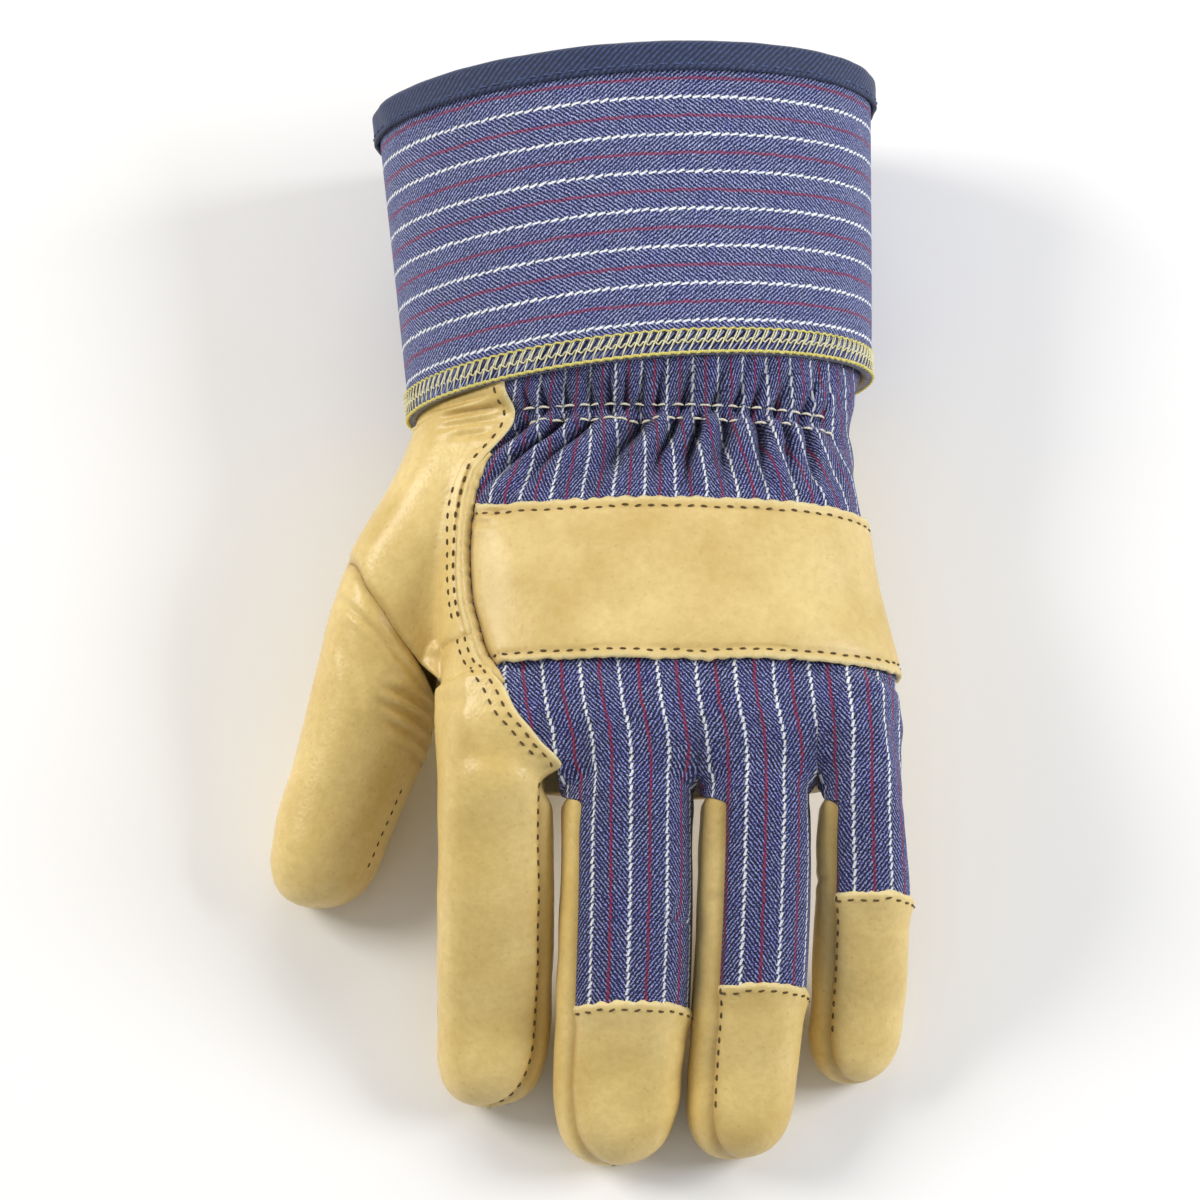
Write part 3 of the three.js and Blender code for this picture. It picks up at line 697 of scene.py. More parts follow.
@lru_cache(maxsize=None)
def cloth_panels():
    """The three strips of the back, which meet between the fingers, gathered and with cloth coordinates."""
    strips = {}
    for name in CLOTH_FINGERS:
        y = cloth_rows(name)
        left, right = strip_angles(name, y)
        points, outward = fan(name, y, left, right, CLOTH_COLUMNS[name])
        strips[name] = Panel(points, outward)
    share_hand_rows(strips)
    return strips


def share_hand_rows(strips):
    """Gives the strips one line of cloth coordinates across the hand, gathers them and tucks their borders
    in."""
    common = len(shared_rows())
    walked, total = {}, np.zeros((common, 1))
    for name in CLOTH_FINGERS:
        across = lengths_along(strips[name].points[:common], 1)
        walked[name] = total + across
        total = total + across[:, -1:]
    anchor = walked["ring"][:, :1]  # the line between the middle and the ring finger
    flat_anchor = between_x("middle", "ring", np.array([-PALM_LENGTH]))[0] - FIRST_STRIPE_X
    for name in CLOTH_FINGERS:
        panel, y = strips[name], cloth_rows(name)
        points = panel.points
        row_y = np.broadcast_to(y[:, None], points.shape[:2])
        own = lengths_along(points, 1)
        middle_x = strip_origin(name, y)[0]
        centre = np.array([np.interp(x, p, w) for x, p, w in zip(middle_x, points[..., 0], own)])
        hand_y = row_y[:common]
        stretch = 1 + STRAP_STRETCH * ease(hand_y, -62.0, -33.0)
        stretch = stretch + ELASTIC_STRETCH * ease(hand_y, -31.0, -12.0)
        drift = STRIPE_DRIFT * ease(hand_y, -95.0, -66.0)
        by_length = flat_anchor + (walked[name] - anchor) * stretch + drift
        root = np.argmin(np.abs(y - CROTCH_ROWS))
        at_root = np.interp(centre[root], own[root], by_length[root])
        first = FINGER_STRIPES[name]
        first = first + STRIPE_PITCH * round((at_root - first) / STRIPE_PITCH)
        flat = first + own - centre[:, None]
        flat[:common] = mix(by_length, flat[:common], ease(-hand_y, 78.0, 91.0))
        panel.cloth = np.stack([flat, -row_y], axis=-1)
        share = walked[name] / total
        share = np.concatenate([share, np.repeat(share[-1:], len(y) - common, axis=0)])
        height, valley = gathers(share, row_y)
        near_ends = ease(share, 0.0, 0.09) * (1 - ease(share, 0.74, 0.9))
        height, valley = height * near_ends, valley * near_ends
        on_hand = ease(row_y, STRAP_TOP - 2.0, STRAP_TOP + 3.0)
        below_strap = (1 - ease(row_y, STRAP_BOTTOM - 1.0, STRAP_BOTTOM + 3.0)) * ease(row_y, -112.0, -92.0)
        soft = 0.3 * ripples(points, 11, 17.0) + 0.12 * ripples(points, 12, 7.0)
        on_finger = 1 - ease(row_y, -99.0, -90.0)
        edges = edge_distances(points)
        sides = np.minimum(edges["left"], edges["right"]) if name != "little" else edges["left"]
        tucked = -0.4 * bell(sides, 0.7) * on_finger
        crotch = ease(-row_y, 74.0, 93.0) * (1 - on_finger)
        borders = edges["right"] if name == "middle" else sides
        tucked = tucked - 1.3 * bell(borders, 2.6) * crotch
        if name == "little":
            tucked = tucked - 0.45 * bell(edges["right"], 1.0)
        soft = soft * np.maximum(on_hand, below_strap)
        panel.lift(height * on_hand + soft - 0.25 + 0.4 * on_finger + tucked)
        # Painted shade: in the valleys of the gathered folds, along the cloth's edges where they tuck under
        # the leather on the fingers, and along its borders at the crotches
        panel.seam = np.maximum(0.8 * valley * on_hand, 0.7 * bell(sides, 0.9) * on_finger)
        panel.seam = np.maximum(panel.seam, 0.45 * bell(borders, 1.6) * crotch)
        panel.full = (1 - 0.7 * bell(row_y - CROTCH, 6.0)) * (1 - 0.6 * bell(row_y - GATHER_LINE, 9.0))
        panel.lined = ease(row_y, -60.0, -50.0)


# Leather panels
LEATHER_STEP = 0.8
WING_TURN = 0.62  # the share across at which the wing starts to turn round the thumb
STRAP_COLUMNS = 150


def even_rows(start, end, step):
    return np.linspace(start, end, max(int(abs(end - start) / step), 2) + 1)


def raw_edge(distance):
    """Height of a raw leather edge, by the distance from it. It lies on what it covers and has a rounded
    corner."""
    return 1.0 * bell(distance, 6.0) - 0.35 * bell(distance, 0.45)


def wing_points(y, across):
    """The skin of the thumb's side of the hand, by y and a share across. Its rays point straight up from the
    seam on the back towards the thumb's middle, and then make a quarter turn round the thumb."""
    thumb, hand = thumb_section(y), hand_section(y)
    flat = np.clip(across / WING_TURN, 0, 1)
    origin_x = mix(back_seam_x(y), thumb[..., X], flat)
    origin_z = mix(hand[..., Z], thumb[..., Z], flat**2)
    angle = mix(math.pi / 2, math.pi, np.clip((across - WING_TURN) / (1 - WING_TURN), 0, 1))
    return skin(y, origin_x, origin_z, angle), origin_x, origin_z


@lru_cache(maxsize=None)
def palm_panels():
    """The leather of the thumb's side, down to the thumb's seam and the root of the index finger, and the
    leather under the hand."""
    columns = np.linspace(0, 1, 96)
    trial_y = np.linspace(-25.0, THUMB_CROTCH, 120)[:, None]
    trial, _, _ = wing_points(*np.broadcast_arrays(trial_y, columns[None]))
    past = trial[..., 0] < thumb_seam_x(trial_y)
    past |= (trial_y < INDEX_ROOT - 9.0) & (trial[..., 0] > hand_x(trial_y, -0.985))
    first = np.argmax(past, axis=0)
    end = np.where(past.any(axis=0), trial_y[first, 0], THUMB_CROTCH)
    end = smoothed(end, 2)
    rows = np.linspace(0, 1, 110)[:, None]
    y = mix(HAND_TOP, end[None], rows)
    points, origin_x, origin_z = wing_points(y, np.broadcast_to(columns[None], y.shape))
    wing = Panel(points, outward_from(points, origin_x, y, origin_z))
    wing.lift(0.12 * ripples(points, 21, 22.0) + crease_depth(points, WING_CREASES))
    on_hand = 1 - ease(hand_x(y, -1.0) - points[..., 0], -1.0, 5.0)
    wing.lift(-1.7 * on_hand * ease(-points[..., 1], -INDEX_ROOT - 0.6, -INDEX_ROOT + 1.4))
    edge = edge_distances(points)
    groove = bell(edge["left"] - 2.0, 0.45) * (1 - ease(points[..., 1], -24.0, -19.0))
    wing.lift(raw_edge(edge["left"]) - 0.55 * groove)
    wing.raw = bell(edge["left"], 0.8)
    thumb_side = ease(columns, 0.3, 0.42)[None]
    wing.lift(-0.8 * bell(edge["bottom"], 1.5) * mix(0.45, 1.0, thumb_side))
    # Painted shade along the sunk seam at the bottom and in the groove beside the raw edge
    wing.seam = np.maximum(bell(edge["bottom"], 1.4), 0.8 * groove)

    under_y = even_rows(HAND_TOP, CROTCH, 1.2)[:, None]
    angle = np.linspace(math.pi, 2 * math.pi, 110)[None]
    oval = hand_section(under_y)
    under_points = ring_points(oval, under_y, angle)
    under = Panel(under_points, outward_from(under_points, oval[..., X], under_y, oval[..., Z]))
    under.lift(0.25 * ripples(under_points, 22, 26.0) - 0.2)
    pulled_in = 1.3 + 2.0 * bell(under_y - GATHER_LINE, 7.0)
    under.lift(-pulled_in * bell(edge_distances(under_points)["right"], 9.0))
    under.keep_above_floor()
    under.full = np.broadcast_to(ease(under_y, CROTCH + 0.5, CROTCH + 9.0), under.points.shape[:2])
    return {"wing": wing, "under": under}


@lru_cache(maxsize=None)
def thumb_panels():
    """The thumb: over its back from the seam on the hand to the tip, and under it from inside the hand."""
    angles = np.linspace(0, math.pi, 90)
    tip = -THUMB_LENGTH
    trial_y = np.linspace(-28.0, -86.0, 160)[:, None]
    oval = thumb_section(trial_y)
    trial = skin(trial_y, oval[..., X], oval[..., Z], angles[None])
    past = trial[..., 0] < thumb_seam_x(trial_y)
    last_outside = trial_y.shape[0] - 1 - np.argmax(~past[::-1], axis=0)
    start = trial_y[np.clip(last_outside + 1, 0, len(trial_y) - 1), 0]
    start = smoothed(start, 3)
    round_rows = 0.86 + 0.14 * np.sin(np.linspace(0, np.pi / 2, 28))[1:]
    fractions = np.concatenate([np.linspace(0, 0.86, 90), round_rows])
    y = mix(start[None], tip, fractions[:, None])
    oval = thumb_section(y)
    points = skin(y, oval[..., X], oval[..., Z], np.broadcast_to(angles[None], y.shape))
    back = Panel(points, outward_from(points, oval[..., X], y, oval[..., Z]))
    back.lift(0.14 * ripples(points, 31, 20.0) + crease_depth(points, THUMB_CREASES))
    edge = edge_distances(points)
    back.lift(-0.9 * bell(edge["top"], 1.6))
    # Painted shade along the seam, where the top edge is drawn down
    back.seam = bell(edge["top"], 1.6)

    under_angles = np.linspace(math.pi, 2 * math.pi, 70)[None]
    trial_y = np.linspace(-4.5, -86.0, 160)[:, None]
    trial = ring_points(thumb_section(trial_y), trial_y, under_angles)
    outside = depth_outside(hand_section(trial_y), trial[..., 0], trial[..., 2]) > -2.5
    leave = trial_y[np.argmax(outside, axis=0), 0]
    leave = smoothed(leave, 3)
    under_y = mix(leave[None], tip, fractions[:, None])
    oval = thumb_section(under_y)
    under_points = ring_points(oval, under_y, np.broadcast_to(under_angles, under_y.shape))
    under = Panel(under_points, outward_from(under_points, oval[..., X], under_y, oval[..., Z]))
    under.keep_above_floor()
    back.keep_above_floor()
    back.full, under.full = pole_fade(back.points), pole_fade(under.points)
    return {"back": back, "under": under}


def tip_rows(name, start, step):
    """Rows from start to a finger's tip, closer together round the tip."""
    _, width, _, length, *_ = FINGERS[name]
    end, radius = -PALM_LENGTH - length, width * FINGER_TIP_SHARE
    round_rows = end + radius * (1 - np.sin(np.linspace(0, np.pi / 2, 26)))
    return np.concatenate([even_rows(start, end + radius, step)[:-1], round_rows])


def pole_fade(points):
    """The share of a wall's thickness that is kept near a tip, where the last row draws in to a point."""
    return ease(edge_distances(points)["bottom"], 0.0, 5.0)


def sleeve_panel(name, start, left, right, step=LEATHER_STEP):
    """Part of a finger's sleeve, from ring angle left to right, from y = start to the tip."""
    y = tip_rows(name, start, step)[:, None]
    oval = finger_section(name, y)
    width = abs(right - left) * FINGERS[name][1] / 2
    angle = np.linspace(left, right, int(width / step) + 2)[None]
    points = ring_points(oval, y, angle)
    return Panel(points, outward_from(points, oval[..., X], y, oval[..., Z]))


@lru_cache(maxsize=None)
def finger_panels():
    """Under and beside each finger its front, and over each cloth finger its leather tip."""
    panels = {}
    for number, (name, sizes) in enumerate(FINGERS.items()):
        length, seam_left, seam_right, share = sizes[3], *sizes[5:]
        left, right = ring_angle(seam_left), ring_angle(seam_right)
        overlap = 0.16
        front = sleeve_panel(name, -77.0, left - overlap, 2 * math.pi + right + overlap)
        uneven = 0.12 * ripples(front.points, 40 + number, 15.0)
        front.lift(uneven + crease_depth(front.points, FRONT_CREASES))
        cloth_end = -PALM_LENGTH - share * length
        sides = np.minimum(*(edge_distances(front.points)[side] for side in ("left", "right")))
        in_hand = ease(front.points[..., 1], -98.5, -94.5)
        front.lift(-1.15 * bell(sides, 3.3) * (1 - in_hand) - 1.9 * in_hand)
        # Painted shade along the seams, 2 mm in from each side where the front is drawn down
        front.seam = bell(sides - 2.0, 1.6)
        front.full = pole_fade(front.points)
        front.keep_above_floor()
        panels[name + "_front"] = front
        if share:
            tip = sleeve_panel(name, cloth_end, left, right)
            tip.lift(0.12 * ripples(tip.points, 50 + number, 14.0))
            tip.sew(["left", "right"], 0.55, 1.3)
            edge = edge_distances(tip.points)["top"]
            ragged = 0.18 * ripples(tip.points, 60 + number, 2.2)
            tip.lift(1.15 * bell(edge, 4.0) - 0.4 * bell(edge, 0.4))
            bowed = np.sin(3.0 * np.linspace(0, 1, tip.points.shape[1]))
            tip.points[..., 1] += ragged * bell(edge, 1.2) + 0.8 * bell(edge, 3.0) * bowed
            tip.raw = bell(edge, 0.9)
            tip.full = pole_fade(tip.points)
            tip.keep_above_floor()
            panels[name + "_tip"] = tip
    return panels


@lru_cache(maxsize=None)
def index_panel():
    """The leather of the back of the index finger, from its root on the hand to its tip."""
    name = "index"
    rows = np.concatenate([even_rows(INDEX_ROOT, -90.0, 0.7)[:-1], tip_rows(name, -90.0, 0.75)])
    origin = strip_origin(name, rows)
    on_finger = seam_angle(name, rows, FINGERS[name][6])
    own_side = root_edge("middle") - FINGER_GAP / 2
    seam_x = mix(own_side, back_seam_x(rows), ease(rows, -95.0, -90.5))
    right = mix(on_finger, top_angle(seam_x, rows, origin), ease(rows, CROTCH, -90.0))
    left_x = thumb_seam_x(rows)
    on_hand = top_angle(left_x, rows, origin)
    left = mix(math.pi + 0.1, on_hand, ease(rows, -71.0, -63.0))
    points, outward = fan(name, rows, left, right, 66)
    panel = Panel(points, outward)
    panel.lift(0.14 * ripples(points, 71, 20.0) + crease_depth(points, INDEX_CREASES))
    edge = edge_distances(points)
    y = np.broadcast_to(rows[:, None], points.shape[:2])
    over_cloth = ease(y, -94.0, -89.0)
    panel.lift(raw_edge(edge["right"]) * over_cloth)
    panel.lift(-0.6 * bell(edge["right"], 1.3) * (1 - over_cloth))
    panel.lift(-0.5 * bell(edge["top"], 1.2))
    panel.full = pole_fade(panel.points)
    panel.raw = bell(edge["right"], 0.8) * over_cloth
    # Painted shade along the seam at the top, and along the right edge on the finger where it is drawn down
    panel.seam = np.maximum(bell(edge["top"], 1.0), bell(edge["right"], 1.3) * (1 - over_cloth))
    panel.keep_above_floor()
    return panel


# Creases in plan: start x, start y, end x, end y, depth, width
WING_CREASES = (
    (-45.0, -4.0, -33.0, -3.2, 0.6, 0.9),
    (-46.0, -6.2, -33.0, -5.2, 0.8, 0.8),
    (-45.0, -8.6, -31.0, -7.4, 0.8, 0.9),
    (-46.0, -11.0, -33.0, -10.2, 0.6, 0.9),
    (-43.0, -13.6, -34.0, -13.2, 0.45, 1.0),
    (-67.0, -46.0, -46.0, -69.0, 0.6, 0.9),
)
THUMB_CREASES = (
    (-69.5, -47.0, -48.0, -68.5, 0.6, 0.9),
    (-57.0, -68.5, -46.0, -72.0, 0.8, 1.0),
    (-59.0, -71.5, -47.0, -75.5, 0.8, 1.0),
    (-57.0, -76.0, -47.5, -79.0, 0.6, 1.0),
    (-68.0, -58.0, -63.0, -74.0, 0.35, 1.6),
    (-55.0, -80.5, -48.5, -82.5, 0.4, 1.0),
)
INDEX_CREASES = (
    (-46.0, -75.0, -38.0, -77.5, 0.25, 1.6),
)
FRONT_CREASES = (
    (14.0, -118.0, 20.0, -120.0, 0.3, 1.2),
    (38.0, -112.0, 42.0, -113.5, 0.3, 1.0),
)
STRAP_CREASES = (
    (-38.5, -32.0, -31.0, -33.5, 0.5, 0.9),
    (-38.0, -34.5, -32.5, -36.5, 0.4, 0.9),
    (-36.0, -31.5, -28.0, -35.0, 0.3, 0.9),
)


# Strap and welt
@lru_cache(maxsize=None)
def strap_panel():
    """The leather strap: the skin of the hand between two lines across it, moved out, from beside the welt on
    the thumb's side round to the little finger's side."""
    y = even_rows(STRAP_TOP, STRAP_BOTTOM, 0.6)
    hand = hand_section(y)
    left_x = back_seam_x(y) + 1.7
    above = skin(y, left_x, hand[..., Z], np.full_like(y, math.pi / 2))
    left = np.arctan2(above[..., 2] - hand[..., Z], left_x - hand[..., X])
    coarse = mix(left[:, None], -0.15, np.linspace(0, 1, 40))
    panel = Panel(*spread(y[:, None], hand[:, None, X], hand[:, None, Z], coarse, STRAP_COLUMNS))
    points = panel.points
    edge = edge_distances(points)
    sides = np.minimum(edge["top"], edge["bottom"])
    swell = 1 - bell(np.minimum(sides, edge["left"]), 5.0)
    wave = 0.14 * ripples(points, 81, 24.0) + 0.05 * ripples(points, 82, 9.0)
    tucked = ease(edge["right"], 0.0, 13.0)
    swell = swell * (0.35 + 0.65 * ease(edge["right"], 0.0, 30.0))
    panel.lift(0.2 + (SEWING_GAP + STRAP_WALL - 0.2) * tucked + 0.7 * swell * tucked + wave * swell)
    panel.lift(crease_depth(points, STRAP_CREASES))
    panel.lift(-0.4 * bell(sides, 0.45) - 1.6 * bell(edge["left"], 1.5) - 0.35 * bell(sides - 2.4, 0.7))
    ragged = 0.16 * ripples(points, 83, 2.4) + 0.25 * ripples(points, 84, 30.0)
    panel.points[..., 1] += ragged * (bell(edge["top"], 2.0) + bell(edge["bottom"], 2.0))
    panel.raw = bell(sides, 0.9)
    # Painted shade along the sunk left end and, weaker, in the grooves of the stitch lines
    panel.seam = np.maximum(bell(edge["left"], 1.6), 0.4 * bell(sides - 2.4, 0.6))
    return panel


def ring_ways(side, up, sides):
    """Directions round each place of a line, evenly spaced."""
    angle = np.linspace(0, 2 * np.pi, sides, endpoint=False)
    return np.cos(angle)[None, :, None] * side[:, None] + np.sin(angle)[None, :, None] * up[:, None]


def ring_faces(rings, sides):
    """The corner numbers of rings of points, and the quads between them."""
    numbers = np.arange(rings * sides).reshape(rings, sides)
    turned = np.roll(numbers, -1, axis=1)
    return numbers, np.stack([numbers[:-1], turned[:-1], turned[1:], numbers[1:]], axis=-1).reshape(-1, 4)


def tube(points, normals, radius, sides):
    """A round tube along a line, closed at both ends by rings drawn in to a point."""
    points, normals = np.asarray(points), np.asarray(normals)
    radius = np.broadcast_to(np.asarray(radius, float), (len(points),)).copy()
    way = unit(np.gradient(points, axis=0))
    points = np.concatenate([points[:1], points, points[-1:]])
    way = np.concatenate([way[:1], way, way[-1:]])
    normals = np.concatenate([normals[:1], normals, normals[-1:]])
    radius = np.concatenate([[1e-4], radius, [1e-4]])
    side = unit(np.cross(way, normals))
    up = unit(np.cross(side, way))
    grid = points[:, None] + ring_ways(side, up, sides) * radius[:, None, None]
    return grid.reshape(-1, 3), ring_faces(len(grid), sides)[1]


def joined(parts):
    """Points and faces of several meshes as one."""
    offsets = np.cumsum([0] + [len(points) for points, _ in parts[:-1]])
    faces = np.concatenate([faces + offset for (_, faces), offset in zip(parts, offsets)])
    return np.concatenate([points for points, _ in parts]), faces


# Stitches
def along_line(points, normals, pitch, start=0.5):
    """Places at a pitch along a line, with the line's direction and the surface's normal there."""
    walked = np.concatenate([[0], np.cumsum(np.linalg.norm(np.diff(points, axis=0), axis=-1))])
    at = np.arange(start * pitch, walked[-1], pitch)
    pick = lambda values, where: np.stack([np.interp(where, walked, values[:, i]) for i in range(3)], axis=-1)
    ahead, behind = pick(points, at + 0.2 * pitch), pick(points, at - 0.2 * pitch)
    return pick(points, at), unit(ahead - behind), unit(pick(normals, at))


def stitches(places, ways, normals, length, radius, bow, sink):
    """Short threads, one at each place: a tube along its way, bowed up in the middle, thin and sunk at the
    ends."""
    rings, sides = 7, 6
    t = np.sin(np.linspace(-np.pi / 2, np.pi / 2, rings))
    side = unit(np.cross(ways, normals))
    up = unit(np.cross(side, ways))
    axis = places[:, None] + ways[:, None] * (t * length / 2)[None, :, None]
    axis = axis + up[:, None] * (bow * (1 - t**2) - sink)[None, :, None]
    thick = radius * np.maximum(1 - np.abs(t) ** 3, 0.05) ** 0.5
    grid = axis[:, :, None] + ring_ways(side, up, sides)[:, None] * thick[None, :, None, None]
    numbers, one = ring_faces(rings, sides)
    halves = ([0, 1, 2, 3], [0, 3, 4, 5])  # the two quads that close a ring of six
    first, last = ([numbers[ring, half] for half in halves] for ring in (0, -1))
    one = np.concatenate([one, [quad[::-1] for quad in first], last])
    faces = one[None] + (np.arange(len(places)) * rings * sides)[:, None, None]
    return grid.reshape(-1, 3), faces.reshape(-1, 4)


# Colours and materials
def linear(hex_colour):
    """An sRGB hex colour as linear red, green, blue and full alpha."""
    channels = [int(hex_colour[i : i + 2], 16) / 255 for i in (1, 3, 5)]
    return tuple(c / 12.92 if c <= 0.04045 else ((c + 0.055) / 1.055) ** 2.4 for c in channels) + (1.0,)


def add_node(tree, name, kind, sockets, **settings):
    """Adds a node. Its settings are its own properties. A socket gets a value, or a link from "@node" or
    "@node:output"."""
    node = tree.nodes.new(kind)
    node.name = name
    for key, value in settings.items():
        setattr(node, key, value)
    set_sockets(tree, node, sockets)


def set_sockets(tree, node, sockets):
    for key, value in sockets.items():
        if isinstance(value, str):
            source, _, output = value[1:].partition(":")
            outputs = tree.nodes[source].outputs
            chosen = outputs[int(output)] if output.isdigit() else outputs[output or 0]
            tree.links.new(chosen, node.inputs[key])
        else:
            node.inputs[key].default_value = value


# Kinds of node, and settings that many of them share. A mix of colours takes its share at 0 and its colours
# at 6 and 7. A map range takes its value at 0, the range it comes from at 1 and 2, and the one it goes to at 3
# and 4.
MATH, MIX, RANGE = "ShaderNodeMath", "ShaderNodeMix", "ShaderNodeMapRange"
NOISE, CELLS, WAVES = "ShaderNodeTexNoise", "ShaderNodeTexVoronoi", "ShaderNodeTexWave"
ATTRIBUTE, BUMP = "ShaderNodeAttribute", "ShaderNodeBump"
COLOUR, FLAT = {"data_type": "RGBA"}, {"noise_dimensions": "2D"}
SMOOTH = {"interpolation_type": "SMOOTHSTEP"}
MIXED = ":2"  # the colour output of a mix
RIB_PITCH = 1.18


def new_material(name):
    """An empty material with its output and a principled shader named `skin`."""
    material = bpy.data.materials.new(name)
    material.use_nodes = True
    tree = material.node_tree
    tree.nodes.clear()
    add_node(tree, "skin", "ShaderNodeBsdfPrincipled", {})
    add_node(tree, "out", "ShaderNodeOutputMaterial", {"Surface": "@skin"})
    return material, tree


def striped_twill(name, base, light, gap, options):
    """Brushed cotton twill, woven blue over navy in a herringbone that turns at each stripe. To the eye it
    is a soft matt weave of slanting ribs, with a twisted white thread and a flecked red one by turns."""
    material, tree = new_material(name)
    half = STRIPE_PITCH / 2
    add_node(tree, "uv", "ShaderNodeUVMap", {}, uv_map="Cloth")
    add_node(tree, "mm", "ShaderNodeSeparateXYZ", {0: "@uv"})
    add_node(tree, "sway", NOISE, {"Vector": "@uv", "Scale": 0.35, "Detail": 2.0}, **FLAT)
    add_node(tree, "sway_mm", RANGE, {0: "@sway", 3: -0.35, 4: 0.35})
    add_node(tree, "u", MATH, {0: "@mm:X", 1: "@sway_mm"}, operation="ADD")
    add_node(tree, "signed", MATH, {0: "@u", 1: half, 2: -half}, operation="WRAP")
    add_node(tree, "beside", MATH, {0: "@signed"}, operation="ABSOLUTE")
    # Ribs of the twill, whose slant turns at each white thread. They are coarser than real ones, so they show
    add_node(tree, "lane", MATH, {0: "@u", 1: STRIPE_PITCH}, operation="PINGPONG")
    add_node(tree, "slant", MATH, {0: "@lane", 1: 1.2, 2: "@mm:Y"}, operation="MULTIPLY_ADD")
    add_node(tree, "loose", NOISE, {"Vector": "@uv", "Scale": 1.3, "Detail": 2.0}, **FLAT)
    add_node(tree, "slant2", MATH, {0: "@loose", 1: 0.6, 2: "@slant"}, operation="MULTIPLY_ADD")
    add_node(tree, "turns", MATH, {0: "@slant2", 1: 2 * math.pi / RIB_PITCH}, operation="MULTIPLY")
    add_node(tree, "wave", MATH, {0: "@turns"}, operation="COSINE")
    add_node(tree, "rib", RANGE, {0: "@wave", 1: -1.0, 2: 1.0, 3: -0.06, 4: 0.64})
    # Flecks of single threads, and clouds of violet
    add_node(tree, "thread_uv", "ShaderNodeMapping", {0: "@uv", "Scale": (1.9, 2.6, 1.0)})
    add_node(tree, "threads", NOISE, {"Vector": "@thread_uv", "Scale": 1.0, "Detail": 3.0, "Roughness": 0.75},
             **FLAT)
    add_node(tree, "flecks", RANGE, {0: "@threads", 1: 0.33, 2: 0.67, 3: -0.14, 4: 0.54})
    add_node(tree, "patch", NOISE, {"Vector": "@uv", "Scale": 0.16, "Detail": 2.0}, **FLAT)
    add_node(tree, "rib_fleck", MATH, {0: "@flecks", 1: "@rib"}, operation="ADD")
    add_node(tree, "tone", "ShaderNodeValToRGB", {0: "@rib_fleck"})
    ramp = tree.nodes["tone"].color_ramp
    ramp.elements[0].position, ramp.elements[0].color = 0.12, linear(gap)
    ramp.elements[1].position, ramp.elements[1].color = 0.95, linear(light)
    ramp.elements.new(options["middle"]).color = linear(base)
    add_node(tree, "violet", RANGE, {0: "@patch", 1: 0.35, 2: 0.7, 3: 0.0, 4: 0.4})
    violet = linear(options["violet"])
    add_node(tree, "cloth", MIX, {0: "@violet", 6: "@tone", 7: violet}, **COLOUR, blend_type="SOFT_LIGHT")
    # The red thread halfway, broken by the ribs
    add_node(tree, "from_red", MATH, {0: half, 1: "@beside"}, operation="SUBTRACT")
    add_node(tree, "red_line", RANGE, {0: "@from_red", 1: 0.2, 2: 0.5, 3: 1.0, 4: 0.0}, **SMOOTH)
    add_node(tree, "red_fleck", RANGE, {0: "@rib_fleck", 1: 0.25, 2: 0.8, 3: 0.1, 4: options["red"]})
    add_node(tree, "red_mask", MATH, {0: "@red_line", 1: "@red_fleck"}, operation="MULTIPLY")
    add_node(tree, "with_red", MIX, {0: "@red_mask", 6: "@cloth" + MIXED, 7: linear("#b02d4b")}, **COLOUR)
    # The white thread, twisted from two plies, so it shows as slanting dashes, one to each ply
    add_node(tree, "plies", MATH, {0: "@mm:Y", 1: 1 / options["ply"]}, operation="MULTIPLY")
    add_node(tree, "ply", MATH, {0: "@plies"}, operation="FRACT")
    add_node(tree, "dash_x", MATH, {0: "@ply", 1: -0.62, 2: 0.31}, operation="MULTIPLY_ADD")
    add_node(tree, "dash_side", MATH, {0: "@signed", 1: "@dash_x"}, operation="SUBTRACT")
    add_node(tree, "dash_off", MATH, {0: "@dash_side"}, operation="ABSOLUTE")
    white = options["white"]
    add_node(tree, "dash", RANGE, {0: "@dash_off", 1: white * 0.6, 2: white, 3: 1.0, 4: 0.0}, **SMOOTH)
    add_node(tree, "ply_half", MATH, {0: "@ply", 1: 0.5}, operation="SUBTRACT")
    add_node(tree, "ply_end", MATH, {0: "@ply_half"}, operation="ABSOLUTE")
    add_node(tree, "dash_length", RANGE, {0: "@ply_end", 1: 0.36, 2: 0.5, 3: 1.0, 4: 0.1}, **SMOOTH)
    add_node(tree, "white_mask", MATH, {0: "@dash", 1: "@dash_length"}, operation="MULTIPLY")
    add_node(tree, "striped", MIX, {0: "@white_mask", 6: "@with_red" + MIXED, 7: linear("#fbffff")}, **COLOUR)
    # Painted shade: near-black navy mixed in by the seam share, darkening the gathered folds' valleys, the
    # edges tucked under leather and the crotches
    add_node(tree, "fold", ATTRIBUTE, {}, attribute_name="seam")
    add_node(tree, "fold_share", MATH, {0: "@fold:Fac", 1: 0.75}, operation="MULTIPLY")
    add_node(tree, "folded", MIX, {0: "@fold_share", 6: "@striped" + MIXED, 7: linear("#0b0e20")}, **COLOUR)
    # The back of the cloth, and its cut edges, are pale unbleached cotton
    add_node(tree, "side", ATTRIBUTE, {}, attribute_name="inside")
    add_node(tree, "both", MIX, {0: "@side:Fac", 6: "@folded" + MIXED, 7: linear("#a9a499")}, **COLOUR)
    add_node(tree, "height", MATH, {0: "@white_mask", 1: 1.2, 2: "@rib_fleck"}, operation="MULTIPLY_ADD")
    add_node(tree, "bump", BUMP, {"Strength": options["bump"], "Distance": 0.00022, "Height": "@height"})
    set_sockets(tree, tree.nodes["skin"], {
        "Base Color": "@both" + MIXED, "Normal": "@bump", "Roughness": 0.88, "IOR": 1.46,
        "Sheen Weight": 0.12, "Sheen Roughness": 0.5,
    })
    return material


